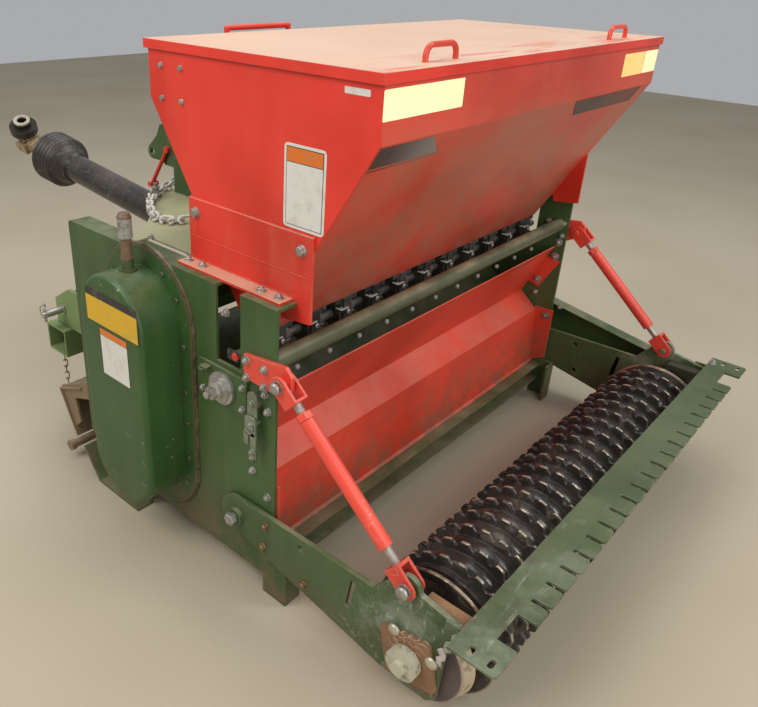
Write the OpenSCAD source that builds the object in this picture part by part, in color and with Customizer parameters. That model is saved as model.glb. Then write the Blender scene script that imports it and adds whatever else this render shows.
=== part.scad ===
// Seed drill: a three-point overseeder with a slitting rotor, a seed hopper and a notched press roller.
// X runs across the machine to its right, Y forward to the tractor, Z up from the floor.

/* [Frame] */
// Inner width between the two side plates
plate_gap = 1400; // [1394:1:1410]
// Thickness of a side plate
plate_t = 8; // [6:0.5:9]
// Height of the side plates' top edge
plate_top = 800; // [795:1:805]
// Height of the side plates' bottom edge
plate_bottom = 57; // [50:1:64]
// Front edge of the side plates
plate_front = 977; // [970:1:985]
// Width of the flange along a side plate's top edge
top_flange_w = 50; // [44:1:50]
// Thickness of the hood plate
hood_t = 5; // [4:0.5:6]
// Outer diameter of the round cross tube
cross_tube_d = 42; // [36:1:48]
// Thickness of the folded shield sheet
shield_t = 4; // [3:0.5:5]
// Thickness of the parking feet and skids
skid_t = 8; // [6:0.5:10]
// Width of a front skid
skid_w = 55; // [45:1:60]

/* [Hopper] */
// How far the lid reaches past the hopper's ends
lid_over = 7.5; // [6:0.5:12]
// Depth of the lid from front to rear
lid_d = 669; // [667:0.5:672]
// Height of the lid's top face
lid_top = 1280; // [1270:1:1290]
// Height of the lid's rim
lid_rim = 20; // [16:0.5:22]
// Thickness of the lid's sheet
lid_t = 4; // [3:0.5:4.5]
// Gap between the hopper's ends and the side plates' inner faces
side_gap = 57.5; // [56:0.5:60]
// Wall thickness of the hopper
wall = 3; // [2:0.5:4]
// Depth below the lid's top of the fold where the rear and front walls turn inward
fold_drop = 124; // [110:1:140]
// Width of the hopper's outlet from front to rear
outlet_d = 64; // [58:1:68]
// Number of seed cups
cup_count = 11; // [7:2:11]
// Distance of the outer seed cups from the hopper's ends
cup_margin = 50; // [48:1:70]

/* [Roller] */
// Number of toothed press rings
ring_count = 19; // [15:2:19]
// Distance of the press rings' outer edges from the side plates' inner faces
drum_gap = 96.75; // [94:0.25:100]
// Outer diameter of the press rings
ring_d = 309; // [306:1:312]
// Width of a ring's toothed rim
rim_w = 12; // [10:0.5:14]
// Number of notches round a ring
notch_count = 21; // [18:1:24]
// Width of a notch
notch_w = 18; // [15:0.5:20]
// Diameter of the roller's shaft
roller_shaft_d = 44; // [40:1:48]
// Thickness of the roller arms
arm_t = 12; // [10:0.5:13]
// How far the scraper bar reaches past the roller arms
bar_over = 60; // [56:1:64]
// Thickness of the scraper bar
scraper_t = 6; // [5:0.5:8]
// Length of the slots in the scraper bar
slot_len = 42; // [36:1:48]

/* [Rotor] */
// Radius over the slitting knives
knife_r = 235; // [225:1:238]
// Number of knife wheels
knife_count = 20; // [16:1:20]
// Number of knives on a wheel
knives_per_wheel = 4; // [3:1:6]
// Diameter of the rotor's bearing journals
journal_d = 40; // [36:1:44]

/* [Drive] */
// Distance of the left hitch pin's shoulder inside the left side plate
hitch_inset = 48.5; // [44:0.5:52]
// Radius of the chain case's round ends
case_r = 126; // [122:1:130]
// Depth of the chain case
case_depth = 109; // [104:1:114]
// Upward tilt of the drive shaft
shaft_tilt = 6; // [4:0.5:7]
// Diameter of the drive shaft's guard tube
guard_tube_d = 94; // [88:1:98]

/* [Hitch] */
// Distance between the shoulders of the two lower hitch pins
hitch_span = 683; // [680:1:686]
// Diameter of the lower hitch pins
lower_pin_d = 22.1; // [20:0.1:24]
// Diameter of the hole for the top hitch pin
top_pin_d = 19.3; // [18:0.1:20]
// Distance between the outer faces of the two mast ears
mast_w = 70; // [66:1:76]

/* [Turnbuckles] */
// Diameter of the turnbuckle pins
strut_pin_d = 16; // [14:0.5:17]
// Gap between the cheeks of a turnbuckle's strap ends
strap_gap = 26; // [25:0.5:28]
// Outer diameter of the turnbuckle barrels
barrel_d = 34; // [32:0.5:38]
// Diameter of the threaded rods
rod_d = 20; // [18:0.5:22]

/* [Hidden] */

RED = [0.80, 0.20, 0.13];
GREEN = [0.20, 0.34, 0.16];
ZINC = [0.72, 0.72, 0.70];
BLACK = [0.10, 0.09, 0.09];
WHITE = [0.88, 0.87, 0.84];
BROWN = [0.36, 0.27, 0.19];

// Radial clearance of a pin or shaft in its bore, and the gap between two pieces that pass each other
running = 0.05;
pass = 5;

// Side plates
plate_in = plate_gap / 2;
plate_out = plate_in + plate_t;
plate_rear = 186;
post_front = plate_rear + 111;
notch_front = post_front + 81;
notch_floor = plate_top - 190;
shoe_front = plate_front - 94;
shoe_rear = shoe_front - 193;
shoe_tip = [plate_front - 28, 100];
corner_r = 12;
flange_in = plate_in - top_flange_w;
tube_y = plate_rear + 33;
tube_z = plate_top - 142;
shield_strap_t = 6;
shield_top = plate_top - 217;
shield_bend = plate_top - 412;
shield_foot = plate_bottom + 71;
beam_d = 50;
beam_h = 150;
beam_wall = 6;
beam_z = 400;

// Rotor, chain case and gearbox
rotor_y = 636;
rotor_z = 250;
gear_z = 645;
flange_t = 8;
flange_r = case_r + 52;
case_in = plate_out + flange_t;
case_out = case_in + case_depth;
case_edge_r = 14;
case_top = gear_z + case_r;
breather_d = 44;
breather_seat = 6;
breather_x = -case_in - 41;
cross_shaft_z = gear_z + 10;
cover_r = knife_r + 27;
cover_t = 4;
cover_bottom = -35;
knife_t = 5;
rotor_tube_d = 90;
housing_d = 110;
housing_t = 26;

// Roller and its frame
roller_y = -230;
roller_z = ring_d / 2;
valley_r = 118;
notch_depth = 12;
ring_phase = 5.3;
pivot_y = 297;
pivot_z = 209;
pivot_d = 25;
arm_in = plate_out + pass;
arm_out = arm_in + arm_t;
bearing_t = 8;
adjuster_t = 8;
hub_y = post_front + 53;
hub_z = plate_top - 250;
bearing_w = 126;
bearing_tilt = -13;
bearing_out = arm_out + bearing_t;
drum_half = plate_in - drum_gap;
ring_pitch = 2 * drum_half / ring_count;
end_rim_w = 8;
end_rim_x = drum_half + 25;
cup_r = 127;
cup_depth = 33;
block_t = 38;
bar_y = -337;
bar_z = 320;
bar_depth = 101;
bar_slot_w = 5;
bar_half = arm_out + bar_over;
tooth_depth = 14;

// Turnbuckle pins, seen from the side
upper_y = 152;
upper_z = 645;
lower_y = -208;
lower_z = 332;
strut_x = arm_in + 5;
strut_len = norm([upper_y - lower_y, upper_z - lower_z]);
strut_angle = atan2(upper_y - lower_y, upper_z - lower_z);
strap_t = 6;
strap_w = 45;
strap_len = 50;
barrel_from = 90;
barrel_to = strut_len - strap_len - 39;
rod_engaged = 104;
bore_beyond_rod = 40;
mount_t = 10;
pin_reach = strap_gap / 2 + strap_t + 9;

// Hopper profile
hopper_w = plate_gap - 2 * side_gap;
lid_w = hopper_w + 2 * lid_over;
hopper_rear = 5;
hopper_front = lid_d - 7;
rear_slope_y = 288;
outlet_z = plate_top - 110;
front_slope_y = rear_slope_y + outlet_d;
hopper_top = lid_top - lid_t;
fold_z = lid_top - fold_drop;
lid_hinge_y = lid_d + 7;
lid_hinge_z = lid_top - lid_rim - 8;
hinge_pin_d = 8;
knuckle_d = 14;
knuckle_w = 40;
hinge_places = [for (k = [-1 : 1]) k * 0.35 * lid_w];
meter_y = rear_slope_y + outlet_d / 2;
meter_z = outlet_z - 50;
meter_shaft_d = 22;
cup_t = 12;
cup_body_w = 44;
feed_roll_d = 50;
cup_pitch = (hopper_w - 2 * cup_margin) / (cup_count - 1);
bracket_t = 6;
bracket_top = plate_top + 151;

// Hitch
hitch_offset = plate_in - hitch_inset - hitch_span / 2;
bar_front_y = plate_front + 150;
hitch_bar_d = 102;
hitch_bar_h = 90;
hitch_bar_z = 305;
hitch_bar_half = plate_in - 20;
hitch_bar_wall = 6;
lug_t = 10;
shank_d = lower_pin_d - 1.1;
lug_pair = 60;
lug_pin_y = bar_front_y + 43;
lug_pin_z = hitch_bar_z + hitch_bar_h + 55;
mast_pin_y = plate_front + 103;
mast_pin_z = plate_top + 110;
mast_foot_y = plate_front + 33;
ear_t = 10;
left_shoulder = -hitch_offset - hitch_span / 2;
right_shoulder = -hitch_offset + hitch_span / 2;

// Drive shaft, measured along its own axis from the rear joint
shaft_y = 850;
shaft_z = 676;
shaft_d = 56;
joint_reach = 1080;
joint_y = shaft_y + joint_reach * cos(shaft_tilt);
joint_z = shaft_z + joint_reach * sin(shaft_tilt);
yoke_turn = [20.5, -18.7, 0];
cap_reach = 44;
cap_d = 36;
fork_mid = cap_reach - 10;
pto_bore_d = 34.9;
pto_bore_len = 62;
yoke_hub_d = 60;

// Middle of the machine's bounding box
mid_x = (bar_half - case_out) / 2;
front_end = joint_y + cap_reach * cos(yoke_turn[0]) + cap_d / 2 * sin(yoke_turn[0]);
mid_y = (front_end + bar_y - bar_depth) / 2;

module placed() translate([-mid_x, -mid_y, 0]) children();

// A plate in the Y-Z plane, from x outward by t, drawn as a 2D outline of (y, z)
module yz_plate(x, t) translate([x, 0, 0]) rotate([90, 0, 90]) linear_extrude(t) children();

// A round bar along X from x0 to x1 at (y, z)
module x_bar(y, z, x0, x1, d) translate([x0, y, z]) rotate([0, 90, 0]) cylinder(d = d, h = x1 - x0, $fn = 48);

// A round boss or hole in a (y, z) outline
module round_at(y, z, d) translate([y, z]) circle(d = d, $fn = 64);

// A square of side w round the origin with corners of radius r
module rounded(w, r) {
  for (turn = [0, 90]) rotate(turn) square([w, w - 2 * r], center = true);
  for (x = [-1, 1], y = [-1, 1]) translate([x * (w / 2 - r), y * (w / 2 - r)]) circle(r = r, $fn = 32);
}

// Draws its children on the right, or mirrored on the left for s = -1
module side(s) mirror([s < 0 ? 1 : 0, 0, 0]) children();
module both_sides() for (s = [-1, 1]) side(s) children();

// A flat strip between two points of a 2D outline
module strip2d(a, b, w) {
  d = b - a;
  translate(a) rotate(atan2(d[1], d[0])) translate([0, -w / 2]) square([norm(d), w]);
}

// The unit normal to the left of the way from a to b
function normal(a, b) = [a[1] - b[1], b[0] - a[0]] / norm(b - a);

// The corner q between p and r, moved off to the left of both edges
function corner(p, q, r, off) = let (m = normal(p, q) + normal(q, r)) q + m * 2 * off / (m * m);

// A folded sheet of thickness t along a list of (y, z) points, mitred at the folds
module folded(points, t) {
  last = len(points) - 1;
  way = concat([2 * points[0] - points[1]], points, [2 * points[last] - points[last - 1]]);
  polygon(concat(
    [for (i = [1 : last + 1]) corner(way[i - 1], way[i], way[i + 1], t / 2)],
    [for (i = [last + 1 : -1 : 1]) corner(way[i - 1], way[i], way[i + 1], -t / 2)]));
}

// The wall of thickness t inside a closed outline of counterclockwise points
module wall_of(edge, t) difference() {
  n = len(edge);
  polygon(edge);
  polygon([for (i = [0 : n - 1]) corner(edge[(i + n - 1) % n], edge[i], edge[(i + 1) % n], t)]);
}

// Turns the Z axis to point from a to b, with the origin at a
module aim(a, b) {
  d = b - a;
  translate(a) rotate([0, acos(d[2] / norm(d)), atan2(d[1], d[0])]) children();
}

// A straight rod between two points
module rod(a, b, d) aim(a, b) cylinder(d = d, h = norm(b - a), $fn = 32);

// A quarter bend from +Z at the origin to +X, with radius r
module bend(r, d) translate([r, 0, 0]) rotate([90, 0, 180]) rotate_extrude(angle = 90, $fn = 64)
  translate([r, 0]) circle(d = d, $fn = 32);

// A hoop that stands on the XY plane, w wide between leg centres and h high
module hoop(w, h, d, r) for (s = [0, 180]) rotate([0, 0, s]) translate([-w / 2, 0, 0]) {
  cylinder(d = d, h = h - r, $fn = 32);
  translate([0, 0, h - r]) bend(r, d);
  translate([r, 0, h]) rotate([0, 90, 0]) cylinder(d = d, h = w / 2 - r, $fn = 32);
}

// One oval chain link along Z, long over all, with its middle at the origin
module link(long, w, d) {
  r = (w - d) / 2;
  for (s = [0, 180]) rotate([s, 0, 0]) {
    translate([r, 0, -(long / 2 - w / 2)]) cylinder(d = d, h = long - w, $fn = 24);
    translate([0, 0, long / 2 - w / 2]) rotate([90, 0, 0]) rotate_extrude(angle = 180, $fn = 48)
      translate([r, 0]) circle(d = d, $fn = 24);
  }
}

// Links of a chain along a route of points, a pitch apart at most, each turned a quarter from the last
module chain_run(route, pitch, long, w, d, roll) {
  lengths = [for (i = [1 : len(route) - 1]) norm(route[i] - route[i - 1])];
  total = sum_to(lengths, len(lengths));
  count = ceil(total / pitch);
  step = total / count;
  for (k = [0 : count - 1]) {
    a = along(route, lengths, k * step);
    b = along(route, lengths, (k + 1) * step);
    aim(a, b) translate([0, 0, norm(b - a) / 2]) rotate(roll + 90 * (k % 2)) link(long, w, d);
  }
}

function sum_to(list, n) = n == 0 ? 0 : list[n - 1] + sum_to(list, n - 1);
// The point at distance s along a route
function along(route, lengths, s, i = 0) =
  i == len(lengths) - 1 || s <= lengths[i]
    ? route[i] + (route[i + 1] - route[i]) * s / lengths[i]
    : along(route, lengths, s - lengths[i], i + 1);

module plate_outline() difference() {
  union() {
    polygon([
      [plate_rear, plate_bottom], [shoe_rear - 18, plate_bottom], [shoe_rear, skid_t],
      [shoe_front - 4, skid_t], shoe_tip, [plate_front, shoe_tip[1] + 30],
      [plate_front, plate_top - corner_r], [plate_front - corner_r, plate_top],
      [notch_front, plate_top], [notch_front, notch_floor],
      [post_front, notch_floor], [post_front, plate_top], [plate_rear, plate_top]]);
    translate([plate_front - corner_r, plate_top - corner_r]) circle(r = corner_r, $fn = 32);
  }
  round_at(pivot_y, pivot_z, pivot_d + 2 * running);
  round_at(rotor_y, rotor_z, journal_d + 2 * running);
}

module side_plates() color(GREEN) placed() {
  both_sides() {
    yz_plate(plate_in, plate_t) plate_outline();
    for (span = [[plate_rear, post_front], [notch_front, plate_front - corner_r]])
      translate([flange_in, span[0], plate_top - plate_t]) cube([top_flange_w, span[1] - span[0], plate_t]);
  }
  // Bearing housing of the rotor on the right
  yz_plate(plate_out, housing_t) difference() {
    round_at(rotor_y, rotor_z, housing_d);
    round_at(rotor_y, rotor_z, journal_d + 2 * running);
  }
  yz_plate(plate_out, 10) difference() {
    translate([rotor_y, rotor_z]) rounded(housing_d + 10, corner_r);
    round_at(rotor_y, rotor_z, journal_d + 2 * running);
  }
}

module skids() color(GREEN) placed() both_sides() {
  yz_plate(plate_in, skid_w) folded([
    [shoe_rear, skid_t / 2], [shoe_front - 2, skid_t / 2], shoe_tip + [3, -3]], skid_t);
  // Angle foot under the rear corner
  foot_y = plate_rear - 43;
  foot_h = 142;
  yz_plate(plate_in, plate_t) polygon([
    [foot_y, 0], [plate_rear + 35, 0], [plate_rear + 35, plate_bottom], [plate_rear, plate_bottom],
    [plate_rear, foot_h], [foot_y, foot_h]]);
  translate([plate_in - 45, foot_y, 0]) cube([45, skid_t, foot_h]);
}

module front_beam() color(GREEN) placed() yz_plate(-plate_in, plate_gap) difference() {
  translate([plate_front - beam_d, beam_z]) square([beam_d, beam_h]);
  translate([plate_front - beam_d + beam_wall, beam_z + beam_wall])
    square([beam_d - 2 * beam_wall, beam_h - 2 * beam_wall]);
}

// Hood plate on the top flanges, narrowed at 45 degrees to the mast's foot
module rotor_hood() color(GREEN) placed() translate([0, 0, plate_top]) {
  nose = 60;
  side = hopper_w / 2 - 4.5;
  wing = plate_in - 10;
  rear_y = front_wall_y(plate_top + hood_t) + 11.5;
  wing_y = rotor_y + 70;
  shoulder_y = wing_y + 41;
  taper = mast_foot_y - shoulder_y;
  linear_extrude(hood_t) polygon([
    [-side, rear_y], [side, rear_y], [side, wing_y], [wing, wing_y], [wing, shoulder_y],
    [-hitch_offset + nose + taper, shoulder_y], [-hitch_offset + nose, mast_foot_y],
    [-hitch_offset - nose, mast_foot_y], [-hitch_offset - nose - taper, shoulder_y],
    [-wing, shoulder_y], [-wing, wing_y], [-side, wing_y]]);
}

// Arc of sheet round the rotor, open below
module rotor_cover() color(GREEN) placed()
  yz_plate(-plate_in, plate_gap) translate([rotor_y, rotor_z]) difference() {
    circle(r = cover_r + cover_t, $fn = 96);
    circle(r = cover_r, $fn = 96);
    translate([-2 * cover_r, cover_bottom - 2 * cover_r]) square([4 * cover_r, 2 * cover_r]);
  }

module lug_outline() difference() {
  bottom = hitch_bar_z + hitch_bar_h;
  polygon([
    [plate_front, bottom], [lug_pin_y + 40, bottom], [lug_pin_y + 40, lug_pin_z + 27],
    [lug_pin_y - 41, lug_pin_z + 78], [plate_front, lug_pin_z + 78]]);
  round_at(lug_pin_y, lug_pin_z, shank_d + 2 * running);
}

module hitch_bar() color(GREEN) placed() {
  difference() {
    translate([-hitch_bar_half, bar_front_y, hitch_bar_z])
      cube([2 * hitch_bar_half, hitch_bar_d, hitch_bar_h]);
    translate([-hitch_bar_half - 1, bar_front_y + hitch_bar_wall, hitch_bar_z + hitch_bar_wall])
      cube([2 * hitch_bar_half + 2, hitch_bar_d - 2 * hitch_bar_wall, hitch_bar_h - 2 * hitch_bar_wall]);
    translate([-hitch_bar_half + 35, bar_front_y + 40, hitch_bar_z + hitch_bar_h - 10])
      cylinder(d = 12, h = 20, $fn = 24);
  }
  // A pair of lugs at each pin, outer face on the pin's shoulder
  for (x = [left_shoulder, right_shoulder - lug_t], inner = [0, x < -hitch_offset ? lug_pair : -lug_pair])
    yz_plate(x + inner, lug_t) lug_outline();
  // Gusset from the front beam to the bar's free end, clear of the pins' line
  top = hitch_bar_z + hitch_bar_h;
  weld = 14;
  yz_plate(hitch_bar_half - 40, lug_t) polygon([
    [plate_front, beam_z], [bar_front_y, hitch_bar_z + weld], [bar_front_y, top], [bar_front_y + weld, top],
    [bar_front_y, top + weld], [plate_front, lug_pin_z + 78]]);
}

module ear_outline() difference() {
  y0 = mast_pin_y;
  z0 = mast_pin_z;
  foot = plate_top + hood_t;
  union() {
    polygon([
      [y0 - 280, foot], [y0 - 100, foot], [y0 - 100, z0 - 30], [y0 - 62, z0 - 30], [y0 - 48, z0 - 21],
      [y0, z0 - 21], [y0 + 16, z0 + 14], [y0 - 25, z0 + 52], [y0 - 42, z0 + 85], [y0 - 60, z0 + 93],
      [y0 - 180, z0 + 93], [y0 - 280, z0 - 50]]);
    round_at(y0, z0, 42);
  }
  round_at(y0, z0, top_pin_d);
}

module hitch_mast() color(GREEN) placed() {
  for (x = [-hitch_offset - mast_w / 2, -hitch_offset + mast_w / 2 - ear_t])
    yz_plate(x, ear_t) ear_outline();
  // Web between the ears along their sloping back
  yz_plate(-hitch_offset - mast_w / 2 + ear_t, mast_w - 2 * ear_t) {
    knee = [mast_pin_y - 274, mast_pin_z - 48];
    strip2d(knee, knee + [96, 137], 8);
    strip2d([knee[0], plate_top + hood_t], knee, 8);
  }
}

// Lower hitch pins, each with a collar on its lug, a nut behind it and a cross hole in its free end
module hitch_pins() color(ZINC) placed() for (s = [-1, 1])
  translate([s < 0 ? left_shoulder : right_shoulder, lug_pin_y, lug_pin_z]) side(s) {
    pin_len = 70;
    nut_t = 12;
    nut_x = lug_pair + lug_t;
    seat_len = 52;
    rotate([0, 90, 0]) difference() {
      union() {
        translate([0, 0, -nut_x - nut_t - 2]) cylinder(d = shank_d, h = nut_x + nut_t + 3, $fn = 64);
        translate([0, 0, -nut_x - nut_t]) cylinder(d = 36, h = nut_t, $fn = 6);
        cylinder(d = 34, h = 5, $fn = 64);
        cylinder(d = lower_pin_d, h = seat_len, $fn = 64);
        translate([0, 0, seat_len - 1]) cylinder(d = shank_d, h = pin_len - seat_len - 1, $fn = 64);
        translate([0, 0, pin_len - 2]) cylinder(d1 = shank_d, d2 = shank_d - 4, h = 2, $fn = 64);
      }
      translate([-shank_d, 0, pin_len - 9]) rotate([0, 90, 0]) cylinder(d = 9, h = 2 * shank_d, $fn = 32);
    }
  }

// Deflector ahead of the rotor, on arms from the side plates, weighted by a round bar
module front_guard() color(BROWN) placed() {
  y0 = plate_front;
  fold_y = bar_front_y + 8;
  end = plate_in + 35;
  bar = [y0 + 73, 45];
  guard_sheet();
  both_sides() {
    yz_plate(plate_in, plate_t) polygon([
      [y0, 290], [y0 + 43, 270], [fold_y, 215], [y0 + 95, 90], [y0 + 63, 120], [y0 + 83, 200], [y0, 230]]);
    x_bar(bar[0], bar[1], end, end + 15, 34);
  }
  x_bar(bar[0], bar[1], -end, end, 26);
}

module guard_sheet() yz_plate(-plate_in - 15, plate_gap + 30)
  folded([[plate_front + 35, 255], [bar_front_y + 8, 205], [plate_front + 85, 60]], 6);

// Chains from the hitch bar to the guard, cut flush where they are welded on
module guard_chain() color(BROWN) placed() difference() {
  for (s = [-1, 1]) chain_run([
    [s * (hitch_bar_half - 8), bar_front_y + 33, hitch_bar_z - 2.5],
    [s * (plate_in - 8), bar_front_y - 9, 218.6]], 20, 28, 14, 3.6, 0);
  translate([-plate_gap, 0, hitch_bar_z]) cube([2 * plate_gap, 2 * bar_front_y, hitch_bar_h]);
  guard_sheet();
}

module cross_tube() color(GREEN) placed() x_bar(tube_y, tube_z, -plate_in, plate_in, cross_tube_d);

// Rear shield, folded out over the rotor and back in to a small lip
module rear_shield() color(RED) placed()
  yz_plate(-plate_in + shield_strap_t, plate_gap - 2 * shield_strap_t) translate([plate_rear, 0])
    folded([
      [28, shield_top], [45, shield_top - 24], [126, shield_bend], [60, shield_bend - 56],
      [45, shield_foot + 6], [36, shield_foot]], shield_t);

// Flanges at the shield's ends, bolted to the side plates
module shield_straps() color(RED) placed() both_sides()
  yz_plate(plate_in - shield_strap_t, shield_strap_t) translate([plate_rear, 0]) {
    polygon([
      [57, shield_top - 45], [107, shield_bend + 59], [105, shield_bend + 43], [65, shield_bend + 32],
      [2, shield_top - 53]]);
    polygon([[62, shield_bend - 45], [-7, shield_bend - 43], [-8, shield_foot + 30], [49, shield_foot]]);
  }

// Channel across the bottom, open to the rear
module bottom_channel() color(GREEN) placed() {
  t = 5;
  d = 40;
  h = 60;
  place = [plate_rear + 2, plate_bottom + 9];
  yz_plate(-plate_in, plate_gap) difference() {
    translate(place) square([d, h]);
    translate(place + [-1, t]) square([d - t + 1, h - 2 * t]);
  }
  both_sides() yz_plate(plate_in - t, t) translate(place) square([d, h]);
}

// Y of the hopper's sloping walls' outer faces at height z
function on_slope(foot_y, fold_y, z) = foot_y + (fold_y - foot_y) * (z - outlet_z) / (fold_z - outlet_z);
function rear_wall_y(z) = on_slope(rear_slope_y, hopper_rear, z);
function front_wall_y(z) = on_slope(front_slope_y, hopper_front, z);

module hopper_outline() polygon([
  [hopper_rear, hopper_top], [hopper_front, hopper_top], [hopper_front, fold_z],
  [front_slope_y, outlet_z], [rear_slope_y, outlet_z], [hopper_rear, fold_z]]);

module between_ends() yz_plate(-hopper_w / 2 + wall, hopper_w - 2 * wall) children();

module hopper_rear_wall() color(RED) placed() between_ends() polygon([
  [hopper_rear, hopper_top], [hopper_rear + wall, hopper_top], [hopper_rear + wall, fold_z + 1],
  [rear_slope_y + wall + 1, outlet_z], [rear_slope_y, outlet_z], [hopper_rear, fold_z]]);

// Front wall with the lid's hinge pins and a grab bar
module hopper_front_wall() color(RED) placed() {
  between_ends() polygon([
    [hopper_front, hopper_top], [hopper_front - wall, hopper_top], [hopper_front - wall, fold_z + 1],
    [front_slope_y - wall - 1, outlet_z], [front_slope_y, outlet_z], [hopper_front, fold_z]]);
  for (x = hinge_places) {
    x_bar(lid_hinge_y, lid_hinge_z, x - knuckle_w * 1.5, x + knuckle_w * 1.5, hinge_pin_d);
    for (s = [-1, 1]) translate([x + s * knuckle_w, 0, 0]) {
      x_bar(lid_hinge_y, lid_hinge_z, -knuckle_w / 2 + 1, knuckle_w / 2, knuckle_d);
      yz_plate(-knuckle_w / 2 + 1, knuckle_w - 1)
        translate([hopper_front, lid_hinge_z - 30]) square([lid_hinge_y - hopper_front, 30]);
    }
  }
  grab_bar();
}

module grab_bar() {
  d = 14;
  x0 = -354;
  x1 = -133;
  bar_top = lid_top + 5;
  // The legs pass below the lid's sweep round its hinge
  reach_y = lid_hinge_y + lid_rim + 28;
  elbow_z = lid_hinge_z - lid_rim - 8;
  rod([x0, reach_y, bar_top], [x1, reach_y, bar_top], d);
  for (x = [x0, x1]) {
    for (z = [bar_top, elbow_z]) translate([x, reach_y, z]) sphere(d = d + 1, $fn = 32);
    rod([x, reach_y, elbow_z], [x, reach_y, bar_top], d);
    rod([x, reach_y, elbow_z], [x, hopper_front - 1, elbow_z - 18], d);
  }
}

module hopper_ends() color(RED) placed() both_sides() yz_plate(hopper_w / 2 - wall, wall) hopper_outline();

// Brackets that carry the hopper on the side plates' top flanges
module hopper_brackets() color(RED) placed() both_sides() {
  front = front_wall_y(bracket_top) + 6.4;
  rear = rear_wall_y(bracket_top) + 17.5;
  foot_rear = plate_rear + 11;
  yz_plate(hopper_w / 2, bracket_t) polygon([
    [rear, bracket_top], [front, bracket_top], [front, plate_top], [rear + 98, plate_top],
    [rear + 83, plate_top - 50], [rear, plate_top - 40]]);
  translate([hopper_w / 2, foot_rear, plate_top])
    cube([plate_in - 10 - hopper_w / 2, front - foot_rear, bracket_t]);
}

// A seed cup under the outlet: top plate, rear strap, round housing and spout
module seed_cup() {
  top_w = 84;
  strap = [28, 5];
  body_r = outlet_d / 2 - 1;
  spout_h = 54;
  translate([-top_w / 2, rear_slope_y, outlet_z - cup_t]) cube([top_w, outlet_d, cup_t]);
  translate([-strap[0] / 2, rear_slope_y - strap[1], meter_z - 10])
    cube([strap[0], strap[1], outlet_z - meter_z + 10]);
  yz_plate(-cup_body_w / 2, cup_body_w) difference() {
    union() {
      round_at(meter_y, meter_z, 2 * body_r);
      translate([meter_y - body_r, meter_z]) square([2 * body_r, outlet_z - cup_t - meter_z]);
    }
    round_at(meter_y, meter_z, meter_shaft_d + 2 * running);
  }
  translate([0, meter_y, meter_z - body_r + 5 - spout_h]) difference() {
    cylinder(d1 = 28, d2 = 38, h = spout_h, $fn = 48);
    translate([0, 0, -1]) cylinder(d = 22, h = spout_h - 14, $fn = 48);
  }
}

module seed_cups() color(BLACK) placed()
  for (i = [0 : cup_count - 1]) translate([(i - (cup_count - 1) / 2) * cup_pitch, 0, 0]) seed_cup();

// Shaft through the cups with a fluted feed roll beside each
module meter_shaft() color(WHITE) placed() {
  x_bar(meter_y, meter_z, -plate_in, plate_in, meter_shaft_d);
  for (i = [0 : cup_count - 1])
    yz_plate((i - (cup_count - 1) / 2) * cup_pitch + cup_body_w / 2 + 2, 22)
      translate([meter_y, meter_z]) difference() {
        circle(d = feed_roll_d, $fn = 64);
        for (k = [0 : 9]) rotate(k * 36) translate([feed_roll_d / 2, 0]) circle(r = 4, $fn = 16);
      }
}

// Half of the case's section: depth along Y of the outline, rounded at the outer edge
module case_profile() {
  square([case_r, case_depth - case_edge_r]);
  square([case_r - case_edge_r, case_depth]);
  translate([case_r - case_edge_r, case_depth - case_edge_r]) circle(r = case_edge_r, $fn = 48);
}

module flange_outline(r, y) {
  translate([y - r, rotor_z]) square([2 * r, gear_z - rotor_z]);
  for (z = [rotor_z, gear_z]) translate([y, z]) circle(r = r, $fn = 96);
}

// Chain case of two round ends and a straight middle, on a bolted flange
module chain_case() color(GREEN) placed() {
  yz_plate(-case_in, flange_t) difference() {
    flange_outline(flange_r, rotor_y);
    round_at(rotor_y, rotor_z, journal_d + 2 * running);
  }
  difference() {
    translate([-case_in, rotor_y, 0]) {
      for (z = [rotor_z, gear_z]) translate([0, 0, z]) rotate([0, -90, 0])
        rotate_extrude($fn = 96) intersection() {
          case_profile();
          square([case_r, case_depth]);
        }
      translate([0, 0, rotor_z]) rotate([0, 0, 90]) linear_extrude(gear_z - rotor_z)
        for (s = [0, 1]) mirror([s, 0]) case_profile();
    }
    x_bar(rotor_y, rotor_z, -case_in - 24, -case_in + 1, journal_d + 2 * running);
    translate([breather_x, rotor_y, case_top - breather_seat])
      cylinder(d = breather_d + 2 * running, h = 2 * breather_seat, $fn = 64);
  }
}

// Breather on the case's top, turned from the foot to the cap
module case_breather() color(ZINC) placed() translate([breather_x, rotor_y, case_top]) {
  translate([0, 0, running - breather_seat]) cylinder(d = breather_d, h = breather_seat + 4, $fn = 64);
  for (ring = [[30, 3, 30], [26, 29, 82], [34, 80, 132]])
    translate([0, 0, ring[1]]) cylinder(d = ring[0], h = ring[2] - ring[1], $fn = 64);
  translate([0, 0, 132]) cylinder(d1 = 34, d2 = 24, h = 8, $fn = 64);
}

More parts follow.
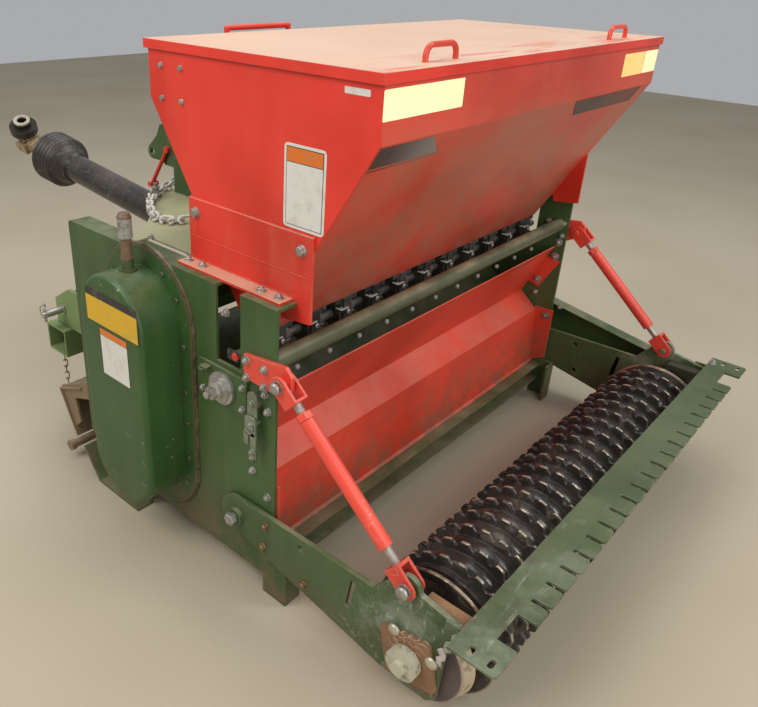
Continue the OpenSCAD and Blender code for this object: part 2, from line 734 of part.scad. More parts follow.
// Gearbox under the hood, with its input boss and the tube to the chain case
module gearbox() color(GREEN) placed() {
  x0 = -hitch_offset;
  half = 70;
  depth = 150;
  bottom = 590;
  top_t = 14;
  rib = 10;
  collar = 26;
  translate([x0, rotor_y, 0]) {
    translate([-half, -depth / 2, bottom]) cube([2 * half, depth, plate_top - bottom - top_t]);
    translate([-half - 2 * rib, -depth / 2 - rib, plate_top - top_t])
      cube([2 * half + 4 * rib, depth + 2 * rib, top_t]);
    for (y = [-50, 0, 50]) translate([-half - rib, y - 4, bottom + rib])
      cube([2 * (half + rib), 8, plate_top - bottom - rib - top_t]);
    translate([0, depth / 2 - 5, shaft_z]) rotate([-90, 0, 0]) {
      cylinder(d = 120, h = 40, $fn = 64);
      translate([0, 0, 40]) cylinder(d1 = 110, d2 = 80, h = 30, $fn = 64);
    }
  }
  x_bar(rotor_y, cross_shaft_z, -plate_in, x0 - half, 76);
  x_bar(rotor_y, cross_shaft_z, -plate_in, -plate_in + 12, 150);
  x_bar(rotor_y, cross_shaft_z, x0 - half - collar, x0 - half, 130);
}

module on_shaft() translate([-hitch_offset, shaft_y, shaft_z]) rotate([-90 + shaft_tilt, 0, 0]) children();

// Guard tube with a bell at each end; points are (radius, distance along the shaft)
module pto_guard() color(BLACK) placed() on_shaft() {
  r = guard_tube_d / 2;
  rear_r = 80;
  bell_r = 91;
  t = 4;
  rear_end = 95;
  front_end = joint_reach - 345;
  bell_end = front_end + 160;
  rotate_extrude($fn = 96) {
    polygon([
      [rear_r, -60], [rear_r, 40], [r + 4, rear_end], [r, rear_end], [r, front_end], [r + 8, front_end + 5],
      [r + 8, front_end + 30], [r + 4, front_end + 33], [bell_r, bell_end - 53], [bell_r, bell_end],
      [bell_r - t, bell_end], [bell_r - t, bell_end - 51], [r + 4 - t, front_end + 35],
      [r - t, front_end + 3], [r - t, rear_end + 2], [rear_r - t, 38], [rear_r - t, -60]]);
    for (i = [1 : 5]) translate([bell_r - 1, bell_end + 5 - i * 10]) circle(r = 4, $fn = 24);
  }
  // Bearing rings that carry the guard on the shaft
  for (z = [rear_end + 15, front_end - 20]) translate([0, 0, z]) difference() {
    cylinder(r = r - t + 1, h = 14, $fn = 64);
    translate([0, 0, -1]) cylinder(d = shaft_d, h = 16, $fn = 64);
  }
}

// A fork with two eared arms along Z, meeting at the origin's cross
module fork(hub_d, hub_from, hub_to, bore_d) difference() {
  union() {
    translate([0, 0, hub_from]) cylinder(d = hub_d, h = hub_to - hub_from, $fn = 64);
    for (s = [-1, 1]) {
      translate([s * fork_mid - ear_t / 2 - 2, -cap_d / 2, 0]) cube([ear_t + 4, cap_d, hub_from + 8]);
      translate([s * fork_mid, 0, 0]) rotate([0, 90, 0]) translate([0, 0, -ear_t / 2 - 2])
        cylinder(d = cap_d, h = ear_t + 4, $fn = 48);
    }
    translate([-fork_mid - ear_t / 2 - 2, -cap_d / 2, hub_from - 4])
      cube([2 * fork_mid + ear_t + 4, cap_d, 14]);
  }
  translate([0, 0, hub_from - 20]) cylinder(d = bore_d, h = hub_to - hub_from + 21, $fn = 64);
}

// Drive shaft with its rear joint, front cross and the tractor-side fork with its splined bore
module pto_yoke() color([0.55, 0.47, 0.36]) placed() {
  on_shaft() {
    translate([0, 0, 20]) cylinder(d = shaft_d, h = joint_reach - 90, $fn = 64);
    sphere(r = 36, $fn = 64);
    translate([0, 0, joint_reach]) rotate([0, 180, yoke_turn[1]]) fork(shaft_d + 4, cap_reach, 80, 10);
  }
  translate([-hitch_offset, rotor_y + 140, shaft_z]) rotate([-90, 0, 0]) cylinder(d = 60, h = 60, $fn = 64);
  translate([-hitch_offset, joint_y, joint_z]) rotate(yoke_turn) {
    rotate([0, 0, 90]) fork(yoke_hub_d, 40, 40 + pto_bore_len, pto_bore_d);
    // Pull collar with which the yoke is locked on the tractor's shaft
    translate([0, 0, 52]) difference() {
      cylinder(d = 100, h = 26, $fn = 64);
      translate([0, 0, -1]) cylinder(d = yoke_hub_d - 4, h = 28, $fn = 64);
    }
    for (a = [0, 90]) rotate([0, 0, a]) rotate([0, 90, 0]) translate([0, 0, 1 - cap_reach])
      cylinder(d = 26, h = 2 * cap_reach - 2, $fn = 48);
    for (s = [0, 180]) rotate([0, 0, s + 90]) rotate([0, 90, 0]) translate([0, 0, cap_reach - 4])
      cylinder(d = cap_d, h = 4, $fn = 48);
  }
}

// Hook rod that holds the drive shaft up when it is parked, on the mast's left ear
module shaft_hanger() color(RED) placed() {
  x = -hitch_offset - mast_w / 2;
  eye = [mast_pin_y - 80, mast_pin_z + 20];
  hook = [mast_pin_y - 10, mast_pin_z - 95];
  rod([x - 6, eye[0], eye[1]], [x - 12, hook[0], hook[1] + 5], 12);
  x_bar(eye[0], eye[1], x - 12, x, 20);
  x_bar(hook[0], hook[1], x - 26, x + 4, 16);
}

// Chain over the hood, from its bolt to the free end and across to the mast
module hanger_chain() color(WHITE) placed() {
  lie_z = plate_top + hood_t + 11;
  x0 = -hitch_offset;
  y0 = mast_foot_y;
  translate([x0 - 117, y0 - 48, plate_top + hood_t]) cylinder(d = 12, h = 34, $fn = 32);
  free_end = [
    [-126, -52, 10], [-159, -75, 0], [-208, -142, 0], [-242, -210, 0], [-237, -255, 0], [-211, -275, 0],
    [-184, -288, 0]];
  to_mast = [[-120, -42, 14], [-105, -35, 4], [-69, -10, 0], [-30, 4, 2], [67, 50, 8]];
  for (route = [free_end, to_mast])
    chain_run([for (p = route) p + [x0, y0, lie_z]], 28, 46, 28, 8, 45);
}

// Plate with an outward lip that carries the adjuster's hub on the left side plate
module adjuster_plate() color(GREEN) placed() {
  size = [165, 98];
  lip = 18;
  place = [hub_y - 80, hub_z - 50];
  yz_plate(-plate_out - adjuster_t, adjuster_t) translate(place) square(size);
  translate([-plate_out - adjuster_t - lip, place[0], place[1] + size[1] - 6]) cube([lip, size[0], 6]);
}

module adjuster_hub() color(ZINC) placed() {
  x0 = -plate_out - adjuster_t;
  for (disc = [[82, 8], [60, 14], [44, 26], [18, 52]]) x_bar(hub_y, hub_z, x0 - disc[1], x0, disc[0]);
  yz_plate(x0 - 40, 14) translate([hub_y, hub_z]) circle(d = 34, $fn = 6);
}

// Forked flat lever on a bolt through the left side plate
module release_lever() color(ZINC) placed() {
  y = plate_rear + 54;
  z = plate_top - 240;
  yz_plate(-plate_out - 20, 6) {
    strip2d([y, z + 28], [y + 1, z - 80], 30);
    strip2d([y + 7, z - 65], [y + 13, z - 136], 18);
    strip2d([y - 10, z - 65], [y - 37, z - 120], 17);
  }
  x_bar(y, z, -plate_out - 32, -plate_out, 16);
  x_bar(y, z, -plate_out - 14, -plate_out, 30);
}

// Plates with the upper turnbuckle pins
module turnbuckle_mounts() color(RED) placed() both_sides() {
  yz_plate(plate_out, mount_t) {
    polygon([
      [upper_y + 124, upper_z - 35], [upper_y + 124, upper_z + 24], [upper_y - 2, upper_z + 39],
      [upper_y - 21, upper_z + 21], [upper_y - 21, upper_z - 11], [upper_y + 34, upper_z - 39]]);
    round_at(upper_y, upper_z, 42);
  }
  x_bar(upper_y, upper_z, strut_x - pin_reach, strut_x + pin_reach, strut_pin_d);
}

// Lid with a rim round its edge, on knuckles round the hinge pins
module lid() color(RED) placed() {
  difference() {
    translate([-lid_w / 2, 0, lid_top - lid_rim]) cube([lid_w, lid_d, lid_rim]);
    translate([-lid_w / 2 + lid_t, lid_t, lid_top - lid_rim - 1])
      cube([lid_w - 2 * lid_t, lid_d - 2 * lid_t, lid_rim + 1 - lid_t]);
  }
  for (x = hinge_places) yz_plate(x - knuckle_w / 2 + 2, knuckle_w - 4) difference() {
    union() {
      round_at(lid_hinge_y, lid_hinge_z, knuckle_d);
      translate([lid_d - lid_t / 2, lid_hinge_z])
        square([knuckle_d / 2 + lid_hinge_y - lid_d + lid_t / 2, knuckle_d]);
    }
    round_at(lid_hinge_y, lid_hinge_z, hinge_pin_d + 2 * running);
  }
}

module lid_handles() color(RED) placed() for (x = [-lid_w / 2 + 239, lid_w / 2 - 215])
  translate([x, 50, lid_top]) hoop(103, 30, 12, 14);

module knife_wheel() {
  disc_r = 92;
  root = disc_r - 12;
  tip = 4;
  circle(r = disc_r, $fn = 64);
  for (k = [0 : knives_per_wheel - 1]) rotate(k * 360 / knives_per_wheel)
    polygon([[root, -32], [knife_r - 40, -30], [knife_r * cos(tip), -knife_r * sin(tip)],
      [knife_r * cos(tip), knife_r * sin(tip)], [knife_r - 70, 10], [root, 34]]);
}

// Rotor of knife wheels on a tube, with its journals in the side plates
module rotor() color([0.42, 0.38, 0.33]) placed() {
  x_bar(rotor_y, rotor_z, -plate_in + pass, plate_in - pass, rotor_tube_d);
  x_bar(rotor_y, rotor_z, -case_in - 20, plate_out + housing_t - 2, journal_d);
  for (i = [0 : knife_count - 1])
    yz_plate((i - (knife_count - 1) / 2) * ring_pitch - knife_t / 2, knife_t)
      translate([rotor_y, rotor_z]) rotate(i * 27) knife_wheel();
}

module arm_outline() difference() {
  pivot = [pivot_y, pivot_z];
  roller = [roller_y, roller_z];
  lower = [lower_y, lower_z];
  union() {
    polygon([
      pivot + [0, 55], pivot + [-20, -52], pivot + [-173, -84], roller + [71, -85], roller + [-50, -88],
      roller + [-71, -70], roller + [-76, 50], [bar_y + 1, bar_z - 8], [bar_y + 98, bar_z + 10],
      lower + [-20, 18], lower + [0, 28], lower + [26, 13], lower + [84, -59]]);
    round_at(pivot[0], pivot[1], 110);
    round_at(lower[0], lower[1], 56);
  }
  round_at(roller[0], roller[1], roller_shaft_d + 2 * pass);
  for (h = [[-101, 28], [-215, 31], [-228, -67]]) round_at(pivot[0] + h[0], pivot[1] + h[1], 17);
  strip2d(roller + [159, 94], roller + [170, 12], 14);
}

// Arms with their pivots in the side plates and the lower turnbuckle pins
module roller_arms() color(GREEN) placed() both_sides() {
  yz_plate(arm_in, arm_t) arm_outline();
  x_bar(pivot_y, pivot_z, plate_in - pass, arm_out + 16, pivot_d);
  x_bar(pivot_y, pivot_z, arm_out, arm_out + 10, 46);
  x_bar(lower_y, lower_z, strut_x - pin_reach, strut_x + pin_reach, strut_pin_d);
}

module bearing_plates() color(BROWN) placed() both_sides()
  yz_plate(arm_out, bearing_t) translate([roller_y, roller_z]) difference() {
    rotate(bearing_tilt) rounded(bearing_w, 14);
    circle(d = roller_shaft_d + 2 * running, $fn = 64);
  }

// Wooden blocks on the arms' inner faces, cut round over the roller's end cups
module bearing_blocks() color([0.62, 0.38, 0.18]) placed() both_sides()
  yz_plate(arm_in - block_t, block_t) translate([roller_y, roller_z]) difference() {
    polygon([[-5, 100], [-5, 150], [-104, 150], [-94, 100]]);
    circle(r = cup_r + pass + 1, $fn = 96);
  }

// Scraper bar with a slot over each ring and rounded teeth between, on tabs from the arms
module scraper_bar() color(GREEN) placed() {
  rear = bar_y - bar_depth;
  notch_in = end_rim_x - 5;
  notch_out = arm_in - 7;
  hole_x = arm_out + 36;
  translate([0, 0, bar_z]) linear_extrude(scraper_t) difference() {
    union() {
      translate([-bar_half, rear + tooth_depth]) square([2 * bar_half, bar_depth - tooth_depth]);
      for (i = [0 : ring_count]) translate([(i - ring_count / 2) * ring_pitch, rear + tooth_depth])
        tooth(ring_pitch - bar_slot_w);
      for (s = [-1, 1]) translate([s > 0 ? notch_out : -bar_half, rear])
        square([bar_half - notch_out, tooth_depth + 1]);
    }
    for (i = [0 : ring_count - 1])
      translate([(i - (ring_count - 1) / 2) * ring_pitch - bar_slot_w / 2, rear - 1])
        square([bar_slot_w, slot_len + 1]);
    for (s = [-1, 1]) {
      translate([s > 0 ? notch_in : -notch_out, rear - 1]) square([notch_out - notch_in, 44]);
      // Short slots for the bolts of the bar's end
      for (y = [bar_y - 38, bar_y - 80]) {
        for (x = [-5, 5]) translate([s * (hole_x + x), y]) circle(d = 13, $fn = 32);
        translate([s * hole_x, y]) square([10, 13], center = true);
      }
    }
  }
  both_sides() yz_plate(arm_out, 6) translate([bar_y, bar_z]) polygon([
    [34, 1], [-24, 1], [-20, -36], [14, -76], [40, -70]]);
}

// A tooth w wide that ends in two round corners
module tooth(w) {
  r = tooth_depth;
  translate([-w / 2 + r, -r]) square([w - 2 * r, r + 1]);
  for (s = [-1, 1]) intersection() {
    translate([s * (w / 2 - r), 0]) circle(r = r, $fn = 32);
    translate([-w / 2, -r]) square([w, r + 1]);
  }
}

// Tray over the metering drive, open towards the right arm
module drive_guard() color(GREEN) placed() {
  t = 3;
  x0 = bearing_out + 2;
  depth = bar_half - x0 - 2;
  front = pivot_y - 45;
  edge = [
    [front, pivot_z + 157], [roller_y + 80, roller_z + 144], [roller_y - 2, roller_z + 107],
    [roller_y - 54, roller_z + 46], [roller_y - 46, roller_z - 38], [roller_y + 40, roller_z - 60],
    [front + 10, pivot_z - 63]];
  yz_plate(x0 + depth - t, t) polygon(edge);
  yz_plate(x0, depth) wall_of(edge, t);
  for (p = [[front - 52, pivot_z + 16], [roller_y + 110, roller_z + 46]])
    x_bar(p[0], p[1], arm_out, x0 + depth - 1, 22);
}

// Profile of a ring under its rim, from one valley to the next
module ring_profile() {
  half = ring_pitch / 2 - 0.25;
  rim_r = ring_d / 2 - notch_depth - 1;
  polygon([
    [roller_shaft_d / 2, -half], [valley_r, -half], [rim_r, -rim_w / 2], [rim_r, rim_w / 2],
    [valley_r, half], [roller_shaft_d / 2, half]]);
}

// Rim disc with round notches
module ring_rim() difference() {
  circle(d = ring_d, $fn = 96);
  circle(r = ring_d / 2 - notch_depth - 4, $fn = 96);
  for (k = [0 : notch_count - 1]) rotate(k * 360 / notch_count)
    translate([ring_d / 2 - notch_depth + notch_w / 2, 0]) circle(d = notch_w, $fn = 32);
}

module toothed_ring(phase) {
  rotate_extrude($fn = 96) ring_profile();
  rotate(phase) translate([0, 0, -rim_w / 2]) linear_extrude(rim_w) ring_rim();
}

// Notched press rings side by side on the shaft, with a smooth half ring at each end
module roller_rings() color(BLACK) placed() translate([0, roller_y, roller_z]) {
  for (i = [0 : ring_count - 1])
    translate([(i - (ring_count - 1) / 2) * ring_pitch, 0, 0])
      rotate([0, 90, 0]) toothed_ring(i * ring_phase);
  rim_x = end_rim_x - drum_half - end_rim_w / 2;
  both_sides() translate([drum_half, 0, 0]) rotate([0, 90, 0]) rotate_extrude($fn = 96) polygon([
    [roller_shaft_d / 2, 0], [valley_r, 0], [ring_d / 2 - 4, rim_x], [ring_d / 2 - 4, rim_x + end_rim_w],
    [valley_r - 8, rim_x + end_rim_w], [valley_r - 14, rim_x - 3], [60, rim_x - 3],
    [52, rim_x + end_rim_w], [roller_shaft_d / 2, rim_x + end_rim_w]]);
}

// Shaft with a sheet cup inside each arm and a washer and bolt head at each end
module roller_shaft() color(BLACK) placed() {
  x_bar(roller_y, roller_z, -bearing_out - 2, bearing_out + 2, roller_shaft_d);
  both_sides() {
    x_bar(roller_y, roller_z, bearing_out + 2, bearing_out + 25, 74);
    yz_plate(bearing_out + 25, 12) translate([roller_y, roller_z]) circle(d = 34, $fn = 6);
    translate([arm_in - pass, roller_y, roller_z]) rotate([0, -90, 0]) rotate_extrude($fn = 96) polygon([
      [roller_shaft_d / 2 - 1, 0], [cup_r - 12, 0], [cup_r, cup_depth], [cup_r - 3, cup_depth],
      [cup_r - 15, 8], [roller_shaft_d / 2 - 1, 8]]);
  }
}

// A strut's own axis: Z runs from the upper pin down to the lower one
module in_strut(s) placed() side(s)
  translate([strut_x, upper_y, upper_z]) rotate([180 - strut_angle, 0, 0]) children();

// Strap end bent round a pin at the origin, with its base across at strap_len
module strap_end(bore_d) difference() {
  half = strap_gap / 2;
  for (x = [-half - strap_t, half]) translate([x, 0, 0]) {
    rotate([0, 90, 0]) cylinder(d = strap_w, h = strap_t, $fn = 48);
    translate([0, -strap_w / 2, 0]) cube([strap_t, strap_w, strap_len]);
  }
  rotate([0, 90, 0]) translate([0, 0, -half - strap_t - 1])
    cylinder(d = bore_d, h = strap_gap + 2 * strap_t + 2, $fn = 48);
}

module strap(bore_d) {
  strap_end(bore_d);
  translate([-strap_gap / 2, -strap_w / 2, strap_len - strap_t]) cube([strap_gap, strap_w, strap_t]);
}

module turnbuckle_barrel(s) in_strut(s) {
  strap(strut_pin_d + 2 * running);
  translate([0, 0, strap_len - 1]) cylinder(d = rod_d, h = barrel_from - strap_len + 2, $fn = 48);
  translate([0, 0, barrel_from - 17]) cylinder(d = 36, h = 16, $fn = 6);
  bore_from = barrel_to - rod_engaged - bore_beyond_rod;
  translate([0, 0, barrel_from]) difference() {
    cylinder(d = barrel_d, h = barrel_to - barrel_from, $fn = 64);
    translate([0, 0, bore_from - barrel_from])
      cylinder(d = rod_d + 1, h = barrel_to - bore_from + 1, $fn = 64);
  }
}

module turnbuckle_rod(s) in_strut(s) translate([0, 0, strut_len]) rotate([180, 0, 0]) {
  strap(strut_pin_d + 1);
  translate([0, 0, strap_len - 1])
    cylinder(d = rod_d, h = strut_len - barrel_to - strap_len + rod_engaged + 1, $fn = 48);
}

module turnbuckle_barrel_left() color(RED) turnbuckle_barrel(-1);
module turnbuckle_barrel_right() color(RED) turnbuckle_barrel(1);
module turnbuckle_rod_left() color(RED) turnbuckle_rod(-1);
module turnbuckle_rod_right() color(RED) turnbuckle_rod(1);

side_plates();
skids();
front_beam();
rotor_hood();
rotor_cover();
hitch_bar();
hitch_mast();
hitch_pins();
front_guard();
guard_chain();
cross_tube();
rear_shield();
shield_straps();
bottom_channel();
hopper_rear_wall();
hopper_front_wall();
hopper_ends();
hopper_brackets();
seed_cups();
meter_shaft();
chain_case();
case_breather();
gearbox();
pto_guard();
pto_yoke();
shaft_hanger();
hanger_chain();
adjuster_plate();
adjuster_hub();
release_lever();
turnbuckle_mounts();
lid();
lid_handles();
rotor();
roller_arms();
bearing_plates();
bearing_blocks();
scraper_bar();
drive_guard();
roller_rings();
roller_shaft();
turnbuckle_barrel_left();
turnbuckle_barrel_right();
turnbuckle_rod_left();
turnbuckle_rod_right();
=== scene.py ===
"""Looks of the overseeder: materials, fasteners, labels, dirt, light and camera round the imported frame."""

import math
import random

import bmesh
import bpy
from mathutils import Matrix, Vector

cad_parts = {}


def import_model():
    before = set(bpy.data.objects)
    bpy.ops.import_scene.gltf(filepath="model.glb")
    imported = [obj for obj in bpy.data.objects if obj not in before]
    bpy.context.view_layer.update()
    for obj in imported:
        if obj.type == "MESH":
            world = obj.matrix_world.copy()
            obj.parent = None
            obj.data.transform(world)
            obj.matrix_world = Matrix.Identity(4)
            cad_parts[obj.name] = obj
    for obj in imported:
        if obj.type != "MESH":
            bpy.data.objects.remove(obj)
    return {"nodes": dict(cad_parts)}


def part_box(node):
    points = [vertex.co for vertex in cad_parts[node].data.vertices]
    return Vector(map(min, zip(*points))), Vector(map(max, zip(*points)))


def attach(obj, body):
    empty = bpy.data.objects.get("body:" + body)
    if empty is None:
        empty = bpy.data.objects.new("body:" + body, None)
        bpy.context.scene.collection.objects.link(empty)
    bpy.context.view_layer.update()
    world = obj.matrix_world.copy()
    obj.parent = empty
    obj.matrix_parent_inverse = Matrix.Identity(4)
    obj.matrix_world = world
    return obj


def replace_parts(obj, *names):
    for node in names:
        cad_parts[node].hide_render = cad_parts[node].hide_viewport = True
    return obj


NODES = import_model()["nodes"]
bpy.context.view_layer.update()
rng = random.Random(11)

# Sizes below are in millimetres from the seeding centre, the lid's rear edge and the floor.
MM = 0.001
END_LOW, END_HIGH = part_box("hopper_ends")
CENTRE_X = (END_LOW[0] + END_HIGH[0]) / 2
REAR_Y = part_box("lid")[0][1]


def at(x, y, z):
    return Vector((CENTRE_X + x * MM, REAR_Y + y * MM, z * MM))


def left_face(node):
    """The outermost x of a node on the left, in the sizes' own millimetres."""
    return (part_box(node)[0][0] - CENTRE_X) / MM


CASE_FACE = left_face("chain_case")
HOPPER_END = left_face("hopper_ends")
# The side plates' inner faces, then faces that look left, at their x
SIDE_X = 700
PLATE_FACE, FLANGE_FACE, SCALE_FACE, HUB_FACE, LEVER_FACE = -708, -716, -716, -724, -728
ARM_FACE, BAR_FACE, BEARING_FACE, PIVOT_FACE, PIN_FACE = -725, -731, -733, -741, -746
# Centres in the side view, as y and z
ROTOR = (636, 250)
GEAR_Z = 645
ROLLER = (-230, 154.5)
PIVOT = (297, 209)
UPPER_PIN = (152, 645)
LOWER_PIN = (-208, 332)
# The drive shaft from its rear joint to its front one, and the front yoke's own axis
SHAFT_AT, SHAFT_TILT, SHAFT_REACH = (-310, 850, 676), math.radians(6), 1080
SHAFT_AXIS = Vector((0, math.cos(SHAFT_TILT), math.sin(SHAFT_TILT)))
YOKE_JOINT = at(SHAFT_AT[0], SHAFT_AT[1] + SHAFT_REACH * math.cos(SHAFT_TILT),
                SHAFT_AT[2] + SHAFT_REACH * math.sin(SHAFT_TILT))
YOKE_TURN = Matrix.Rotation(math.radians(-18.7), 3, "Y") @ Matrix.Rotation(math.radians(20.5), 3, "X")
YOKE_AXIS = YOKE_TURN @ Vector((0, 0, 1))


def show(name, data):
    """A new object of the scene with this data."""
    obj = bpy.data.objects.new(name, data)
    bpy.context.collection.objects.link(obj)
    return obj


# Camera, from the photograph's vanishing points
CAMERA_AT = (-1680.4, -766.6, 1444.6)
CAMERA_RIGHT = Vector((0.6802, -0.7324, 0.0305))
CAMERA_UP = Vector((0.3069, 0.3224, 0.8955))
FOCAL_PX = 736.7
PHOTO = (758, 707)
PRINCIPAL = (304.3, 324.8)
SENSOR = 36


def place_camera():
    data = bpy.data.cameras.new("camera")
    data.sensor_width = SENSOR
    data.sensor_fit = "HORIZONTAL"
    data.lens = FOCAL_PX * SENSOR / PHOTO[0]
    data.shift_x = (PHOTO[0] / 2 - PRINCIPAL[0]) / PHOTO[0]
    data.shift_y = (PRINCIPAL[1] - PHOTO[1] / 2) / PHOTO[0]
    data.clip_start = 0.05
    camera = show("camera", data)
    right = CAMERA_RIGHT.normalized()
    back = right.cross(CAMERA_UP).normalized()
    up = back.cross(right)
    turn = Matrix((right, up, back)).transposed()
    camera.matrix_world = Matrix.Translation(at(*CAMERA_AT)) @ turn.to_4x4()
    bpy.context.scene.camera = camera


place_camera()


class Graph:
    """A material's node tree, with short calls for the nodes that are used here."""

    def __init__(self, name):
        self.material = bpy.data.materials.new(name)
        self.material.use_nodes = True
        self.tree = self.material.node_tree
        self.shader = self.tree.nodes["Principled BSDF"]
        coords = self.add("ShaderNodeTexCoord")
        self.place = coords.outputs["Object"]
        self.facing = coords.outputs["Normal"]
        self.x, self.y, self.z = self.split(self.place)
        self.colour = self.round_normal = None

    def add(self, kind, **settings):
        node = self.tree.nodes.new(kind)
        for key, value in settings.items():
            setattr(node, key, value)
        return node

    def plug(self, socket, value):
        if isinstance(value, bpy.types.NodeSocket):
            self.tree.links.new(value, socket)
        else:
            socket.default_value = value

    def split(self, vector):
        node = self.add("ShaderNodeSeparateXYZ")
        self.plug(node.inputs[0], vector)
        return node.outputs

    def calc(self, operation, a, b=0.0, clamp=False):
        node = self.add("ShaderNodeMath", operation=operation, use_clamp=clamp)
        self.plug(node.inputs[0], a)
        self.plug(node.inputs[1], b)
        return node.outputs[0]

    def step(self, value, low, high):
        """0 below low, 1 above high and smooth between; the other way round where low is above high."""
        node = self.add("ShaderNodeMapRange", interpolation_type="SMOOTHSTEP")
        if low > high:
            low, high = high, low
            node.inputs["To Min"].default_value, node.inputs["To Max"].default_value = 1.0, 0.0
        self.plug(node.inputs["Value"], value)
        node.inputs["From Min"].default_value = low
        node.inputs["From Max"].default_value = high
        return node.outputs["Result"]

    def stretch(self, factors):
        node = self.add("ShaderNodeVectorMath", operation="MULTIPLY")
        self.plug(node.inputs[0], self.place)
        node.inputs[1].default_value = factors
        return node.outputs[0]

    def noise(self, scale, detail=3.0, rough=0.55, warp=0.0, factors=None):
        node = self.add("ShaderNodeTexNoise")
        self.plug(node.inputs["Vector"], self.stretch(factors) if factors else self.place)
        for key, value in (("Scale", scale), ("Detail", detail), ("Roughness", rough), ("Distortion", warp)):
            node.inputs[key].default_value = value
        return node.outputs["Fac"]

    def spots(self, low, high, *noise):
        """Patches where a noise rises from low to high."""
        return self.step(self.noise(*noise), low, high)

    def between(self, kind, factor, a, b):
        node = self.add("ShaderNodeMix", data_type=kind)
        self.plug(node.inputs["Factor"], factor)
        self.plug(node.inputs["A"], a)
        self.plug(node.inputs["B"], b)
        return node.outputs["Result"]

    def mix(self, factor, a, b):
        return self.between("RGBA", factor, *[(*c, 1) if isinstance(c, tuple) else c for c in (a, b)])

    def lay(self, shade, *masks):
        """Lays a shade over the colour where all the masks are."""
        self.colour = self.mix(self.product(*masks), self.colour, shade)

    def blend(self, factor, a, b):
        return self.between("FLOAT", factor, a, b)

    def total(self, *terms, clamp=False):
        """The sum of values, each given with its weight."""
        result, *others = [self.calc("MULTIPLY", value, weight) for value, weight in terms]
        for other in others:
            result = self.calc("ADD", result, other, clamp)
        return result

    def dot(self, a, b):
        node = self.add("ShaderNodeVectorMath", operation="DOT_PRODUCT")
        self.plug(node.inputs[0], a)
        self.plug(node.inputs[1], b)
        return node.outputs["Value"]

    def product(self, *values):
        result = values[0]
        for value in values[1:]:
            result = self.calc("MULTIPLY", result, value, clamp=True)
        return result

    def up(self, low=0.3, high=0.9):
        return self.step(self.split(self.facing)[2], low, high)

    def rounded(self, radius):
        """Lets the bump lie over edges rounded to this radius."""
        bevel = self.add("ShaderNodeBevel", samples=4)
        bevel.inputs["Radius"].default_value = radius
        self.round_normal = bevel.outputs["Normal"]

    def edges(self, radius):
        """A mask of the sharp edges, which are rounded as well."""
        self.rounded(radius)
        flat = self.add("ShaderNodeNewGeometry").outputs["Normal"]
        return self.step(self.calc("SUBTRACT", 1.0, self.dot(self.round_normal, flat)), 0.01, 0.12)

    def lines(self, scale, width, factors=None):
        """Thin wandering lines, such as scratches, where a noise crosses its middle value."""
        value = self.noise(scale, 2.0, 0.5, 1.2, factors)
        away = self.calc("ABSOLUTE", self.calc("SUBTRACT", value, 0.5))
        return self.step(away, width, width * 0.3)

    def length(self, dy, dz):
        return self.calc("SQRT", self.calc("ADD", self.calc("MULTIPLY", dy, dy), self.calc("MULTIPLY", dz, dz)))

    def away_from(self, y, z):
        """The two parts of the way from an axis along X at y and z, in metres."""
        centre = at(0, y, z)
        return self.calc("SUBTRACT", self.y, centre.y), self.calc("SUBTRACT", self.z, centre.z)

    def finish(self, rough, bump, depth, metallic=0.0):
        for key, value in (("Base Color", self.colour), ("Roughness", rough), ("Metallic", metallic)):
            self.plug(self.shader.inputs[key], value)
        node = self.add("ShaderNodeBump")
        node.inputs["Strength"].default_value = 1.0
        node.inputs["Distance"].default_value = depth
        self.plug(node.inputs["Height"], bump)
        if self.round_normal is not None:
            self.plug(node.inputs["Normal"], self.round_normal)
        self.plug(self.shader.inputs["Normal"], node.outputs["Normal"])
        return self.material


DUST = (0.4, 0.33, 0.21)
SOIL = (0.15, 0.1, 0.055)
RED = (0.64, 0.028, 0.012)
GREEN = (0.036, 0.082, 0.017)
GREY_WORN = (0.26, 0.27, 0.22)


def painted(name, base, dust, dirt_top, scratches, wear, worn=GREY_WORN, rough=0.38, dents=0.4, extra=None):
    """Paint over sheet metal, with uneven tone, dust on top faces, soil low down, scratches and worn edges."""
    g = Graph(name)
    tone = g.noise(2.3, 3)
    fine = g.noise(45, 4, 0.65)
    pale = tuple(min(1.0, c * 1.18 + 0.012) for c in base)
    deep = tuple(c * 0.8 for c in base)
    g.colour = g.mix(g.step(tone, 0.32, 0.68), deep, pale)
    streaks = g.noise(5, 4, 0.6, 0.4, (3, 3, 0.35))
    g.lay(tuple(0.6 * c + 0.4 * d for c, d in zip(base, DUST)), g.step(streaks, 0.45, 0.78), 0.05 + 0.28 * dust)
    on_top = g.product(g.up(), g.spots(0.3, 0.72, 7, 5, 0.62), dust)
    g.lay(DUST, on_top)
    soil = g.product(g.step(g.z, dirt_top, 0.02), g.spots(0.38, 0.62, 11, 6, 0.68, 0.3), 0.9)
    g.lay(SOIL, soil)
    g.lay(worn, g.lines(14, 0.012, (1, 1, 2.2)), g.spots(0.5, 0.66, 3.4), scratches)
    g.lay(worn, g.edges(0.0022), g.spots(0.4, 0.6, 22, 4), wear)
    if extra:
        extra(g)
    dull = g.total((soil, 0.35), (on_top, 0.6), clamp=True)
    rough_out = g.blend(dull, g.blend(tone, rough - 0.06, rough + 0.14), 0.85)
    height = g.total((fine, 0.12), (soil, 0.5), (g.noise(3.1, 1), 4.0 * dents))
    return g.finish(rough_out, height, 0.0012)


